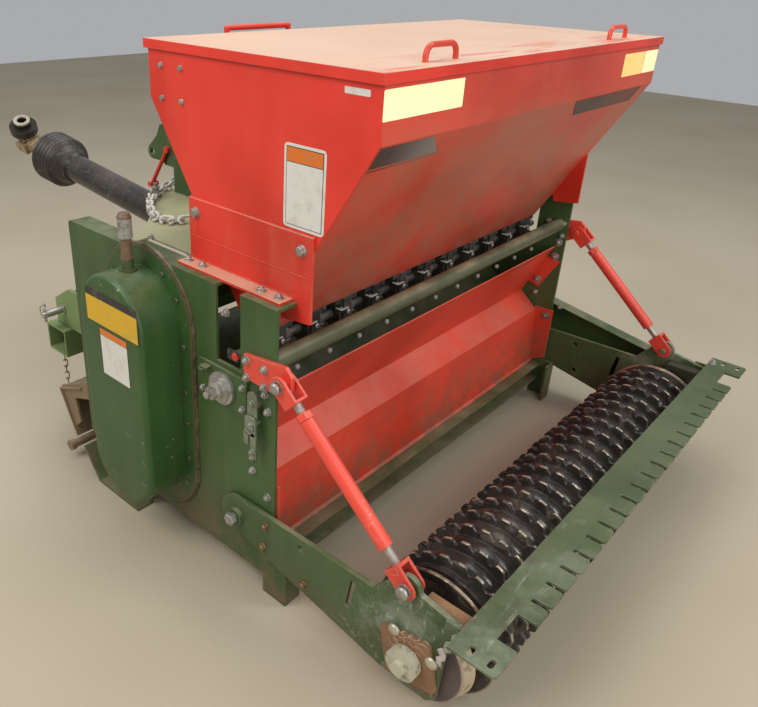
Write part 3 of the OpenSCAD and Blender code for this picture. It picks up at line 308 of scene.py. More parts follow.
def zinc(name, base=(0.46, 0.45, 0.41), grime=0.5):
    g = Graph(name)
    grain = g.noise(90, 4, 0.7)
    g.colour = g.mix(g.spots(0.35, 0.7, 12, 4), base, tuple(c * 0.72 for c in base))
    g.lay((0.2, 0.14, 0.08), g.spots(0.5, 0.68, 26, 5, 0.66), grime)
    g.lay((0.66, 0.64, 0.58), g.edges(0.0012), 0.5)
    return g.finish(g.blend(grain, 0.3, 0.55), grain, 0.0003, 0.75)


def caked(name, base, cake, amount, rough=0.75, metallic=0.0, extra=None):
    """Steel or iron with rust and dried soil on it."""
    g = Graph(name)
    grain = 30.0
    cover = g.spots(0.62 - 0.3 * amount, 0.7, grain * 0.4, 6, 0.7, 0.5)
    g.colour = g.mix(g.noise(grain, 3), base, tuple(c * 0.6 for c in base))
    g.lay(cake, cover)
    g.lay(DUST, g.up(), g.spots(0.35, 0.7, 9, 5), 0.5)
    g.lay(tuple(min(1.0, c * 2.0 + 0.08) for c in base), g.edges(0.002), g.spots(0.45, 0.6, 18), 0.7)
    if extra:
        extra(g)
    height = g.total((cover, 0.8), (g.noise(grain * 3, 4, 0.7), 1.0))
    return g.finish(g.blend(cover, rough - 0.25, 0.92), height, 0.0012, metallic)


def plastic(name, base, dust, rough=0.5):
    g = Graph(name)
    cover = g.product(g.spots(0.34, 0.7, 9, 6, 0.66), dust)
    up = g.product(g.up(0.0, 0.9), dust)
    g.colour = g.mix(cover, base, tuple(0.5 * c + 0.5 * d for c, d in zip(base, (0.24, 0.2, 0.15))))
    g.lay((0.3, 0.25, 0.18), up, g.spots(0.3, 0.65, 5, 4))
    g.lay((0.35, 0.33, 0.3), g.lines(22, 0.01), 0.25)
    g.rounded(0.0012)
    return g.finish(g.blend(cover, rough - 0.1, rough + 0.3), g.noise(120, 3), 0.0004)


def ring_iron(name, rim_low, rim_high, tip):
    """Black iron rings: glossy flanks, brown soil in the crevices and rims worn bright by the ground."""
    g = Graph(name)
    radius = g.length(*g.away_from(*ROLLER))
    g.colour = g.mix(g.spots(0.35, 0.7, 16, 4), (0.022, 0.019, 0.018), (0.052, 0.043, 0.037))
    valley = g.product(g.step(radius, 0.1325, 0.128), g.spots(0.36, 0.6, 30, 5, 0.7), 0.8)
    g.lay((0.06, 0.043, 0.026), valley)
    smear = g.product(g.spots(0.55, 0.66, 13, 5, 0.7, 0.6), 0.55)
    g.lay((0.16, 0.12, 0.09), smear)
    worn = g.product(g.step(radius, rim_low, rim_high), g.spots(0.3, 0.6, 24, 3), 0.85)
    g.lay(tip, worn)
    rough = g.blend(g.calc("MAXIMUM", valley, smear), g.blend(g.noise(8), 0.12, 0.26), 0.8)
    return g.finish(rough, g.noise(55, 4, 0.7), 0.0007, g.product(worn, 0.6))


def cup_steel():
    g = Graph("cup_steel")
    radius = g.length(*g.away_from(*ROLLER))
    g.colour = g.mix(g.noise(14, 4, 0.6, 0.4), (0.15, 0.11, 0.105), (0.085, 0.062, 0.066))
    g.lay((0.46, 0.37, 0.25), g.step(radius, 0.111, 0.119))
    out = g.calc("ABSOLUTE", g.calc("SUBTRACT", g.x, CENTRE_X))
    g.lay((0.52, 0.5, 0.38), g.step(out, 0.7325, 0.7335))
    g.lay(SOIL, g.spots(0.52, 0.62, 34, 5, 0.7), 0.6)
    return g.finish(0.62, g.noise(60, 4), 0.0008, 0.2)


def worn_plate():
    """Bearing plate: rust-brown in the middle, rubbed to cream along its edges."""
    g = Graph("worn_plate")
    turn = math.radians(13)
    dy, dz = g.away_from(*ROLLER)
    a = g.calc("ABSOLUTE", g.total((dy, math.cos(turn)), (dz, -math.sin(turn))))
    b = g.calc("ABSOLUTE", g.total((dy, math.sin(turn)), (dz, math.cos(turn))))
    rim = g.total((g.calc("MAXIMUM", a, b), 1.0), (g.noise(17, 5, 0.7, 0.5), 0.044))
    g.colour = g.mix(g.noise(20, 5, 0.7), (0.2, 0.095, 0.045), (0.3, 0.165, 0.085))
    g.lay((0.5, 0.46, 0.35), g.step(rim, 0.086, 0.104))
    g.lay((0.62, 0.5, 0.36), g.lines(16, 0.02), g.spots(0.48, 0.6, 6), 0.7)
    g.rounded(0.002)
    return g.finish(0.68, g.noise(70, 5, 0.7), 0.0009)


def wood():
    g = Graph("bearing_wood")
    grain = g.noise(9, 5, 0.6, 0.8, (1, 1, 9))
    g.colour = g.mix(grain, (0.19, 0.095, 0.042), (0.31, 0.18, 0.092))
    g.lay((0.13, 0.07, 0.035), g.spots(0.5, 0.65, 24, 4), 0.5)
    # Painted shade: the right-hand blocks are darkened to near black.
    g.lay((0.04, 0.04, 0.022), g.step(g.x, CENTRE_X, CENTRE_X + 0.01))
    g.rounded(0.002)
    return g.finish(0.8, grain, 0.002)


def vinyl(name, base, grime, rough=0.45):
    """Label film, straw or cloth with a little grime."""
    g = Graph(name)
    g.colour = g.mix(g.product(g.spots(0.48, 0.68, 38, 5, 0.66), grime), base, (0.3, 0.24, 0.15))
    g.lay(tuple(c * 0.7 for c in base), g.noise(6), 0.18)
    return g.finish(rough, g.noise(150, 2), 0.00015)


def case_seam(g):
    """Dirt on the chain case's flange and low on its face, a worn strip down its front, and chips."""
    low, high = at(0, *ROTOR), at(0, ROTOR[0], GEAR_Z)
    middle_z = g.calc("MINIMUM", g.calc("MAXIMUM", g.z, low.z), high.z)
    away = g.length(g.calc("SUBTRACT", g.y, low.y), g.calc("SUBTRACT", g.z, middle_z))
    ragged = g.total((away, 1.0), (g.noise(16, 4, 0.6), 0.016))
    rim = g.step(ragged, 0.176, 0.182)
    deep = g.step(g.x, at(CASE_FACE + 88, 0, 0).x, at(CASE_FACE + 104, 0, 0).x)
    g.lay((0.1, 0.075, 0.035), rim, deep, 0.85)
    g.lay((0.13, 0.085, 0.04), g.spots(0.56, 0.64, 5, 4, 0.6, 0.7), g.step(g.z, 0.42, 0.22), deep, 0.8)
    front = g.product(g.step(g.y, REAR_Y + 0.748, REAR_Y + 0.756), g.step(g.z, 0.5, 0.46), g.step(g.z, 0.22, 0.26))
    g.lay((0.15, 0.125, 0.065), front, g.spots(0.4, 0.52, 21, 5, 0.7), 0.8)
    g.lay((0.3, 0.32, 0.22), g.spots(0.7, 0.74, 75, 2), 0.6)


def rear_grime(g):
    """Brown dust on the hopper's rear wall and under its fold."""
    g.lay((0.36, 0.17, 0.1), g.step(g.z, 1.22, 1.1), g.spots(0.3, 0.62, 4, 4, 0.6, 0.3), 0.5)
    drips = g.noise(9, 4, 0.6, 0.2, (2.6, 2.6, 0.22))
    g.lay((0.28, 0.16, 0.1), g.step(drips, 0.52, 0.7), g.step(g.z, 1.16, 0.95), 0.45)


def bar_scuffs(g):
    """Whitish rubbed scratches on the scraper bar, most of them to the left, and brown spots."""
    left = g.step(g.x, CENTRE_X + 0.1, CENTRE_X - 0.72)
    g.lay((0.21, 0.24, 0.16), g.spots(0.4, 0.68, 5, 6, 0.68, 0.3), g.blend(left, 0.12, 0.9), 0.8)
    g.lay((0.3, 0.31, 0.24), g.spots(0.56, 0.7, 16, 5, 0.7, 0.1, (0.8, 3, 1)), left, 0.6)
    g.lay((0.075, 0.058, 0.035), g.spots(0.58, 0.7, 8, 5, 0.7), 0.6)


def arm_scuffs(g):
    """Pale scuffs towards the roller arms' rear ends."""
    near_end = g.step(g.y, REAR_Y - 0.04, REAR_Y - 0.17)
    g.lay((0.25, 0.28, 0.21), g.spots(0.42, 0.66, 9, 6, 0.7, 0.4), near_end, 0.75)
    g.lay((0.4, 0.42, 0.34), g.spots(0.56, 0.68, 26, 5, 0.7, 0.2, (1, 3, 1)), near_end, 0.5)


def bracket_film(g):
    """Pinkish dust on the brackets' feet."""
    g.lay((0.66, 0.34, 0.23), g.up(0.5, 0.95), g.spots(0.1, 0.45, 9, 5), 0.95)


def lid_dust_and_sheen(g):
    """The even tan film on the lid's top faces, part dust and part painted sheen of light reflected by the glossy
    lid, wiped off in short strokes near its rear edge.
    """
    strokes = g.spots(0.5, 0.62, 7, 5, 0.6, 0.1, (0.6, 4, 1))
    wiped = g.product(g.step(g.y, REAR_Y + 0.2, REAR_Y + 0.03), strokes)
    cover = g.product(g.up(0.6, 0.95), g.calc("SUBTRACT", 1.0, g.product(wiped, 0.6)), 0.93)
    tan = g.mix(g.spots(0.3, 0.7, 1.6, 3), (0.62, 0.42, 0.29), (0.7, 0.49, 0.35))
    # Dust and painted sheen together on the lid's top faces
    g.lay(tan, cover)


red = painted("red_paint", RED, 0.22, 0.25, 0.12, 0.2, (0.62, 0.24, 0.14), 0.34)
# The lid's top carries dust and a painted sheen.
red_lid = painted("red_lid", RED, 0.1, 0.25, 0.05, 0.35, (0.7, 0.3, 0.18), 0.36, extra=lid_dust_and_sheen)
red_rear = painted("red_rear", (0.56, 0.044, 0.022), 0.3, 0.2, 0.15, 0.25, (0.6, 0.26, 0.17), 0.36, 0.5, rear_grime)
red_shield = painted("red_shield", (0.62, 0.042, 0.017), 0.3, 0.42, 0.3, 0.4, (0.5, 0.26, 0.15), 0.4)
red_bracket = painted("red_bracket", RED, 0.85, 0.25, 0.2, 0.5, (0.62, 0.28, 0.18), 0.36, extra=bracket_film)
red_bright = painted("red_bright", (0.66, 0.05, 0.026), 0.12, 0.1, 0.35, 0.8, (0.78, 0.5, 0.38), 0.26, 0.1)
green = painted("green_paint", GREEN, 0.5, 0.3, 0.25, 0.55)
green_case = painted("green_case", (0.022, 0.074, 0.011), 0.3, 0.25, 0.12, 0.25, extra=case_seam)
green_arm = painted("green_arm", (0.045, 0.086, 0.024), 0.4, 0.22, 0.4, 0.8, (0.3, 0.32, 0.23), extra=arm_scuffs)
green_bar = painted("green_bar", (0.048, 0.08, 0.026), 0.1, 0.1, 0.08, 0.8, (0.42, 0.42, 0.32), 0.5, 0.1, bar_scuffs)
green_hood = painted("green_hood", (0.31, 0.33, 0.18), 0.5, 0.2, 0.3, 0.5)
green_top = painted("green_top", (0.15, 0.22, 0.075), 0.3, 0.2, 0.3, 0.5)
green_tube = painted("green_tube", (0.075, 0.085, 0.04), 0.55, 0.2, 0.2, 0.3, DUST, 0.32)
zinc_metal = zinc("zinc_metal")
bolt_metal = zinc("bolt_metal", (0.44, 0.43, 0.39), 0.45)
dull_bolt = zinc("dull_bolt", (0.16, 0.17, 0.11), 0.8)
rusty_bolt = zinc("rusty_bolt", (0.3, 0.14, 0.05), 0.7)
lever_zinc = zinc("lever_zinc", (0.3, 0.34, 0.26), 0.3)
cream_metal = zinc("cream_metal", (0.6, 0.56, 0.44), 0.2)


def dark_hub(g):
    """The black sleeve on the front yoke's hub, with a pale ring at its end."""
    along = g.calc("SUBTRACT", g.dot(g.place, YOKE_AXIS), YOKE_JOINT.dot(YOKE_AXIS))
    g.lay((0.03, 0.025, 0.022), g.step(along, 0.05, 0.052))
    g.lay((0.45, 0.4, 0.32), g.step(along, 0.0955, 0.0965))


yoke_steel = caked("yoke_steel", (0.42, 0.3, 0.17), (0.22, 0.14, 0.075), 0.35, 0.5, 0.4, extra=dark_hub)
rotor_steel = caked("rotor_steel", (0.2, 0.15, 0.11), SOIL, 0.7, 0.8, 0.3)
guard_steel = caked("guard_steel", (0.26, 0.175, 0.1), (0.3, 0.21, 0.12), 0.6)
chain_steel = caked("chain_steel", (0.22, 0.14, 0.08), SOIL, 0.3, 0.7, 0.4)
tube_plastic = plastic("tube_plastic", (0.022, 0.017, 0.015), 0.12, 0.4)
cup_plastic = plastic("cup_plastic", (0.018, 0.018, 0.018), 0.3)
chain_plastic = plastic("chain_plastic", (0.62, 0.61, 0.55), 0.25, 0.45)
shaft_plastic = plastic("shaft_plastic", (0.045, 0.045, 0.048), 0.35)
pale_plastic = plastic("pale_plastic", (0.5, 0.5, 0.44), 0.35)


def breather_metal():
    """A green pipe at the foot, a rusty fitting, a grey hexagon body and a brown cap."""
    g = Graph("breather_metal")
    g.colour = g.mix(g.step(g.z, 0.799, 0.801), (0.06, 0.095, 0.028), (0.2, 0.12, 0.07))
    g.lay((0.33, 0.33, 0.3), g.step(g.z, 0.849, 0.852))
    g.lay((0.17, 0.115, 0.07), g.step(g.z, 0.897, 0.9))
    g.lay((0.13, 0.1, 0.065), g.spots(0.48, 0.64, 40, 5, 0.7), 0.7)
    g.rounded(0.0015)
    return g.finish(0.55, g.noise(90, 4, 0.7), 0.0005, 0.2)


black_iron = ring_iron("ring_iron", 0.1528, 0.154, (0.52, 0.43, 0.31))
end_iron = ring_iron("end_iron", 0.1462, 0.1478, (0.46, 0.36, 0.24))

MATERIALS = {
    red_bracket: ["hopper_brackets"],
    red: ["hopper_ends", "lid_handles", "hopper_front_wall", "shaft_hanger"],
    red_lid: ["lid"],
    red_rear: ["hopper_rear_wall"],
    red_shield: ["rear_shield", "shield_straps"],
    red_bright: ["turnbuckle_mounts", "turnbuckle_barrel_left", "turnbuckle_barrel_right", "turnbuckle_rod_left",
                 "turnbuckle_rod_right"],
    green: ["side_plates", "skids", "front_beam", "rotor_cover", "hitch_mast", "bottom_channel",
            "gearbox", "adjuster_plate", "drive_guard"],
    green_case: ["chain_case"],
    green_arm: ["roller_arms"],
    green_bar: ["scraper_bar"],
    green_hood: ["rotor_hood"],
    green_top: ["hitch_bar"],
    green_tube: ["cross_tube"],
    zinc_metal: ["hitch_pins", "adjuster_hub"],
    lever_zinc: ["release_lever"],
    breather_metal(): ["case_breather"],
    yoke_steel: ["pto_yoke"],
    rotor_steel: ["rotor"],
    guard_steel: ["front_guard"],
    chain_steel: ["guard_chain"],
    worn_plate(): ["bearing_plates"],
    tube_plastic: ["pto_guard"],
    cup_plastic: ["seed_cups"],
    chain_plastic: ["hanger_chain"],
    shaft_plastic: ["meter_shaft"],
    black_iron: ["roller_rings"],
    cup_steel(): ["roller_shaft"],
    wood(): ["bearing_blocks"],
}
for material, names in MATERIALS.items():
    for name in names:
        node = NODES[name]
        if not node.material_slots:
            node.data.materials.append(material)
        for slot in node.material_slots:
            slot.material = material


def frame_of(axis):
    """Two unit vectors across an axis."""
    axis = axis.normalized()
    side = axis.cross(Vector((0, 0, 1)) if abs(axis.z) < 0.9 else Vector((0, 1, 0))).normalized()
    return side, axis.cross(side)


def circle(steps, start=0.0):
    """Cosines and sines at equal steps round a circle."""
    angles = [start + k * math.tau / steps for k in range(steps)]
    return [(math.cos(angle), math.sin(angle)) for angle in angles]


def arc(centre, radius, degrees):
    """Flat points on a circle round a centre, at these angles."""
    angles = [math.radians(angle) for angle in degrees]
    return [(centre[0] + radius * math.cos(angle), centre[1] + radius * math.sin(angle)) for angle in angles]


def skin(bm, rows):
    """Quads between rows of points, each row a closed loop."""
    for lower, upper in zip(rows, rows[1:]):
        for k in range(len(lower)):
            n = (k + 1) % len(lower)
            bm.faces.new((lower[k], lower[n], upper[n], upper[k]))


def solid(bm, rows):
    """A skin with its two ends closed."""
    skin(bm, rows)
    bm.faces.new(list(reversed(rows[0])))
    bm.faces.new(rows[-1])


def prism(bm, outline, offset, holes=()):
    """A plate with this outline, a list of points, as thick as the offset, with holes through it."""
    sides = ([], [])
    for loop in (outline, *holes):
        low = [bm.verts.new(p) for p in loop]
        high = [bm.verts.new(p + offset) for p in loop]
        skin(bm, [low, high])
        for verts, edges in zip((low, high), sides):
            edges += [bm.edges.get((a, b)) for a, b in zip(verts, verts[1:] + verts[:1])]
    for edges in sides:
        bmesh.ops.triangle_fill(bm, edges=edges, use_beauty=True)


def turned(bm, foot, axis, profile, segments=24, turn=0.0, hollow=False):
    """Turns a profile of (radius, height) in millimetres round an axis from a foot point.

    A hollow one has no ends: its profile closes on its own start."""
    axis = Vector(axis).normalized()
    u, v = frame_of(axis)
    rows = []
    for radius, height in profile:
        middle = foot + axis * height * MM
        rows.append([bm.verts.new(middle + (u * c + v * s) * radius * MM) for c, s in circle(segments, turn)])
    if hollow:
        skin(bm, rows + rows[:1])
    else:
        solid(bm, rows)


def hex_bolt(bm, foot, axis, size, stud, washer=True):
    """A hexagon head or nut across `size`, on a washer, with a stud end of height `stud`."""
    base = 0.0
    if washer:
        turned(bm, foot, axis, [(size * 0.68, 0), (size * 0.68, 1.6), (size * 0.64, 2.0)])
        base = 2.0
    r = size / math.sqrt(3)
    turned(bm, foot, axis, [(r, base), (r, base + size * 0.36), (r * 0.86, base + size * 0.42)], 6, rng.uniform(0, 1))
    if stud:
        top = base + size * 0.42
        turned(bm, foot, axis, [(size * 0.3, top - 0.5), (size * 0.3, top + stud), (size * 0.24, top + stud + 1)], 16)


def dome_bolt(bm, foot, axis, d):
    r = d / 2
    turned(bm, foot, axis, [(r, 0), (r, d * 0.06), (r * 0.92, d * 0.14), (r * 0.7, d * 0.22), (r * 0.36, d * 0.27),
                            (r * 0.05, d * 0.285)])


def swept(bm, points, radius, segments=8, jitter=0.0):
    """A tube of this radius in millimetres along a list of points."""
    rows = []
    u = None
    for i, point in enumerate(points):
        along = (points[min(i + 1, len(points) - 1)] - points[max(i - 1, 0)]).normalized()
        u = frame_of(along)[0] if u is None else (u - along * u.dot(along)).normalized()
        v = along.cross(u)
        r = radius * MM * (1 + rng.uniform(-jitter, jitter))
        rows.append([bm.verts.new(point + (u * c + v * s) * r) for c, s in circle(segments)])
    solid(bm, rows)


def slab(bm, corner, u, v, width, height, thick, r=0.0, lift=0.0):
    """A thin rounded plate; u and v run along its sides from the corner, and it stands out along u x v."""
    u, v = Vector(u).normalized(), Vector(v).normalized()
    out = u.cross(v)
    outline = []
    for cx, cy, start in ((r, r, 180), (width - r, r, 270), (width - r, height - r, 0), (r, height - r, 90)):
        outline += arc((cx, cy), r, [start + k * 22.5 for k in range(5 if r else 1)])
    solid(bm, [[bm.verts.new(corner + (u * a + v * b + out * depth) * MM) for a, b in outline]
               for depth in (lift, lift + thick)])


def piece(name, body, material, build, smooth_angle=35):
    bm = bmesh.new()
    build(bm)
    bmesh.ops.recalc_face_normals(bm, faces=bm.faces)
    mesh = bpy.data.meshes.new(name)
    bm.to_mesh(mesh)
    bm.free()
    mesh.materials.append(material)
    mesh.shade_smooth()
    mesh.set_sharp_from_angle(angle=math.radians(smooth_angle))
    obj = show(name, mesh)
    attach(obj, body)
    return obj


ALONG, FORWARD, BACKWARD, UP = (1, 0, 0), (0, 1, 0), (0, -1, 0), (0, 0, 1)
OUT_LEFT, OUT_RIGHT = (-1, 0, 0), (1, 0, 0)


def facing(axis, points):
    """Points, each with the axis that its bolt stands along."""
    return [(at(*point), axis) for point in points]


def on_left(x, places):
    """Points of a face that looks left, at places given by y and z."""
    return facing(OUT_LEFT, [(x, y, z) for y, z in places])


def both(points):
    """Points on the left, and their mirror images on the right, each with its outward axis."""
    for x, y, z in points:
        yield at(x, y, z), OUT_LEFT
        yield at(-x, y, z), OUT_RIGHT


def bolts(bm, feet, size, stud, washer=True):
    for foot, axis in feet:
        hex_bolt(bm, foot, axis, size, stud, washer)


ARM_HOLES = ((196, 237), (204, 169), (69, 142))
HOOD_TOP, BRACKET_FOOT = 805, 806
CASE_BOLT_R = 149
CASE_BOLTS = [(ROTOR[0] + s * CASE_BOLT_R, z) for s in (-1, 1) for z in (278, 384, 476, 603)]
CASE_BOLTS += arc((ROTOR[0], GEAR_Z), CASE_BOLT_R, (30, 58, 122, 150))
CASE_BOLTS += arc(ROTOR, CASE_BOLT_R, (-22, -62, -158))


def frame_bolts(bm):
    plate = [(PLATE_FACE, y, z) for y, z in
             ((217, 586), (257, 359), (206, 308), (208, 545), (257, 446), (256, 399))]
    mounts = [(PLATE_FACE - 10, y, z) for y, z in ((266, 657), (210, 656), (266, 613), (211, 612))]
    bolts(bm, both(plate + mounts), 15, 3)
    bolts(bm, both([(PLATE_FACE, 204, 128)]), 12, 0, False)
    bolts(bm, on_left(SCALE_FACE, ((420, 577), (420, 521), (283, 577), (283, 521))), 13, 2)
    bolts(bm, on_left(HUB_FACE, ((371, 572), (316, 560), (337, 521))), 8, 0)
    bolts(bm, both([(HOPPER_END, y, z) for y in (550, 618) for z in (1158, 1228)]), 10, 0)
    bolts(bm, both([(HOPPER_END - 6, 508, 919), (HOPPER_END - 6, 176, 918)]), 19, 0)
    bolts(bm, facing(UP, [(s * 671, y, BRACKET_FOOT) for y in (217, 270, 463, 513) for s in (-1, 1)]), 15, 3)
    # The bolt through the left side plate's notch
    hex_bolt(bm, at(-704, 345, 740), OUT_LEFT, 15, 6)


def hood_bolts(bm):
    """Bolts on the hood, and a capped stud with its nut left of the drive shaft."""
    bolts(bm, facing(UP, [(SHAFT_AT[0] + x, 969, HOOD_TOP) for x in (-100, 0, 90)]), 13, 2)
    bolts(bm, facing(UP, [(x, 700, HOOD_TOP) for x in (-640, -400, 0, 320, 620)]), 12, 2)
    turned(bm, at(-427, 962, 838), UP, [(13, 0), (13, 3), (6, 3.2), (6, 14)])
    hex_bolt(bm, at(-427, 962, 826), UP, 18, 3)


def arm_bolts(bm):
    bolts(bm, both([(PIVOT_FACE, *PIVOT)]), 30, 0, False)
    bolts(bm, both([(BAR_FACE, -318, 262), (BAR_FACE, -331, 292)]), 17, 5)
    hex_bolt(bm, at(742, -349, 326), UP, 16, 4)


def pin_heads(bm, pin, d, collar_r):
    """Domed heads on a pair of turnbuckle pins, each on its collar."""
    for foot, axis in both([(PIN_FACE, *pin)]):
        dome_bolt(bm, foot, axis, d)
        turned(bm, foot - Vector(axis) * 9 * MM, axis, [(collar_r, 0), (collar_r, 3)])


def bearing_domes(bm):
    for foot, axis in both([(BEARING_FACE, -192, 210), (BEARING_FACE, -286, 190)]):
        dome_bolt(bm, foot, axis, 29)


piece("case_bolts", "frame", dull_bolt,
      lambda bm: bolts(bm, on_left(FLANGE_FACE, CASE_BOLTS), 12, 0, False))
piece("frame_bolts", "frame", bolt_metal, frame_bolts)
piece("hood_bolts", "frame", bolt_metal, hood_bolts)
piece("arm_bolts", "roller_frame", bolt_metal, arm_bolts)
piece("upper_pin_heads", "frame", bolt_metal, lambda bm: pin_heads(bm, UPPER_PIN, 27, 15))
piece("lower_pin_heads", "roller_frame", bolt_metal, lambda bm: pin_heads(bm, LOWER_PIN, 30, 16))
piece("bearing_domes", "roller_frame", cream_metal, bearing_domes)

# The hitch lugs' faces; the pins stand out from the first and the third
LUG_X = (-651.5, -581.5, 31.5, -38.5)


def linch_rings(bm):
    """Linch pins through the hitch pins' cross holes, each with its spring ring."""
    radius = 0.021
    for shoulder, side in ((LUG_X[0], -1), (LUG_X[2], 1)):
        middle = at(shoulder + side * 61, 1170, 450)
        turned(bm, middle - Vector((0, 0, 0.024)), UP, [(3, 0), (4, 3), (4, 52), (5, 53), (5, 60)], 16)
        ring = [middle + Vector((side * 0.004, radius * s, 0.03 + radius * (c - 1.0))) for c, s in circle(28)]
        swept(bm, ring + ring[:1], 1.8)


piece("linch_rings", "frame", zinc_metal, linch_rings)

STRUT_X = 718
THREAD_R, THREAD_PITCH, THREAD_FROM_PIN = 10.03, 2.5, 51


def threads(bm, pin, axis, length):
    """A run of round thread crests on a turnbuckle's rod."""
    profile = []
    for k in range(int(length / THREAD_PITCH)):
        profile += [(THREAD_R, k * THREAD_PITCH), (THREAD_R + 0.4, (k + 0.5) * THREAD_PITCH)]
    turned(bm, pin + axis * THREAD_FROM_PIN * MM, axis, profile + [(THREAD_R, length)])


for side, name in ((-1, "left"), (1, "right")):
    upper, lower = at(side * STRUT_X, *UPPER_PIN), at(side * STRUT_X, *LOWER_PIN)
    along = (lower - upper).normalized()
    piece("barrel_thread_" + name, "strut_" + name, zinc_metal,
          lambda bm, pin=upper, axis=along: threads(bm, pin, axis, 20))
    piece("rod_thread_" + name, "strut_rod_" + name, zinc_metal,
          lambda bm, pin=lower, axis=-along: threads(bm, pin, axis, 36))


def label(name, corner, u, width, bands, r=3.0):
    """A blank label: bands of (from, to, inset, material) up its height, the first one its backing."""
    for i, (low, high, inset, material) in enumerate(bands):
        start = corner + (Vector(u) * inset + Vector(UP) * low) * MM
        corner_r = r if inset == 0 and i == 0 else 1.0
        piece(f"{name}_{i}", "frame", material,
              lambda bm: slab(bm, start, u, UP, width - 2 * inset, high - low, 0.3, corner_r, 0.25 * i))


yellow_film = vinyl("yellow_film", (0.68, 0.4, 0.012), 0.3)
black_film = vinyl("black_film", (0.02, 0.02, 0.02), 0.2)
white_film = vinyl("white_film", (0.7, 0.68, 0.63), 0.22)
orange_film = vinyl("orange_film", (0.7, 0.17, 0.02), 0.25)
LABEL_GAP = 0.05
label("case_label_top", at(CASE_FACE - LABEL_GAP, 726, 634), BACKWARD, 211,
      [(0, 90, 0, black_film), (1.5, 69, 1.5, yellow_film)])
label("case_label_low", at(CASE_FACE - LABEL_GAP, 676, 498), BACKWARD, 112,
      [(0, 129, 0, black_film), (1.2, 109, 1.2, white_film), (110, 127.8, 1.2, orange_film)])
label("hopper_label", at(HOPPER_END - LABEL_GAP, 236, 957), BACKWARD, 110,
      [(0, 170, 0, white_film), (6, 164, 6, black_film), (7.5, 133, 7.5, white_film),
       (134.5, 162.5, 7.5, orange_film)], 9.0)
label("hopper_sticker", at(HOPPER_END - LABEL_GAP, 91.5, 1236.5), BACKWARD, 58, [(0, 12, 0, white_film)], 2.0)


def reflex(name, base):
    """Retroreflective film with a fine honeycomb of cells, and a painted glow in its own colour for the bright light
    it throws back.
    """
    g = Graph(name)
    cells = g.add("ShaderNodeTexVoronoi", feature="DISTANCE_TO_EDGE")
    g.plug(cells.inputs["Vector"], g.place)
    cells.inputs["Scale"].default_value = 260.0
    net = g.step(cells.outputs["Distance"], 0.1, 0.04)
    g.colour = g.mix(g.product(net, 0.35), base, tuple(c * 0.6 for c in base))
    g.lay(tuple(c * 0.75 for c in base), g.spots(0.4, 0.7, 12, 4), 0.3)
    # Painted glow: the film emits a little light of its own colour.
    g.shader.inputs["Emission Color"].default_value = (*base, 1)
    g.shader.inputs["Emission Strength"].default_value = 0.35
    return g.finish(0.25, net, 0.0002)


film_pale = reflex("film_pale", (0.95, 0.9, 0.5))
film_yellow = reflex("film_yellow", (0.93, 0.62, 0.2))
REAR_WALL = 4.95
for name, x0, x1, z0, z1, film in (("left", -642, -388, 1198, 1252, film_pale),
                                   ("right_a", 402, 542, 1189, 1247, film_yellow),
                                   ("right_b", 545, 640, 1189, 1247, film_pale)):
    label("reflector_" + name, at(x0, REAR_WALL, z0), ALONG, x1 - x0, [(0, z1 - z0, 0, film)])


def stripe_film():
    """Dark grey ink, lighter towards the slanted ends and worn off at the far end."""
    g = Graph("stripe_film")
    paler = g.step(g.x, CENTRE_X - 0.62, CENTRE_X - 0.44)
    g.colour = g.mix(paler, (0.045, 0.035, 0.033), (0.22, 0.2, 0.19))
    g.lay((0.06, 0.045, 0.04), g.step(g.x, CENTRE_X + 0.1, CENTRE_X + 0.16))
    g.lay((0.24, 0.06, 0.038), g.step(g.x, CENTRE_X + 0.22, CENTRE_X + 0.55), g.spots(0.2, 0.7, 9, 4, 0.6))
    speck = g.spots(0.35, 0.6, 60, 4, 0.7)
    g.lay((0.25, 0.12, 0.09), speck, 0.15)
    return g.finish(0.5, speck, 0.0002)


WALL_SLOPE = math.atan2(283, 466)


def stripe(bm):
    """Two blank blocks with slanted inner ends, and the thin line under the left one."""
    foot = at(0, 5, 1155)
    down = Vector((0, math.sin(WALL_SLOPE), -math.cos(WALL_SLOPE)))
    out = Vector(ALONG).cross(-down)
    for corners in (((-636, 4), (-470, 4), (-415, 54), (-636, 54)), ((150, 4), (575, 4), (575, 54), (205, 54)),
                    ((-636, 60), (-380, 60), (-380, 62), (-636, 62))):
        solid(bm, [[bm.verts.new(foot + Vector((x * MM, 0, 0)) + down * d * MM + out * lift * MM) for x, d in corners]
                   for lift in (0.05, 0.35)])


piece("rear_stripe", "frame", stripe_film(), stripe)


def weld_run(bm, a, b, r=2.6):
    """An uneven weld bead from a to b."""
    steps = max(2, int((b - a).length / 0.005))
    path = [a.lerp(b, k / steps) + Vector([rng.uniform(-0.3, 0.3) * MM for _ in range(3)]) for k in range(steps + 1)]
    swept(bm, path, r, 6, 0.28)


def red_welds(bm):
    for s in (-1, 1):
        for x, rear, front, z, r in ((648.5, 160, 526, 861, 1.6), (643, 147, 532, 951, 2.2),
                                     (649, 200, 530, 807, 2.4)):
            weld_run(bm, at(s * x, rear, z), at(s * x, front, z), r)


def green_welds(bm):
    runs = [((x, 219, 679.5), (x, 219, 680.5)) for x in (-SIDE_X, SIDE_X)]
    for x in LUG_X:
        runs += [((x, 1130, 395), (x, 1209, 395)), ((x, 977, 400), (x, 977, 528))]
    runs += [((x, 802, HOOD_TOP), (x, 980, HOOD_TOP)) for x in (SHAFT_AT[0] - 35, SHAFT_AT[0] + 35)]
    for start, end in runs:
        weld_run(bm, at(*start), at(*end))


piece("hopper_welds", "frame", red, red_welds)
piece("frame_welds", "frame", green, green_welds)


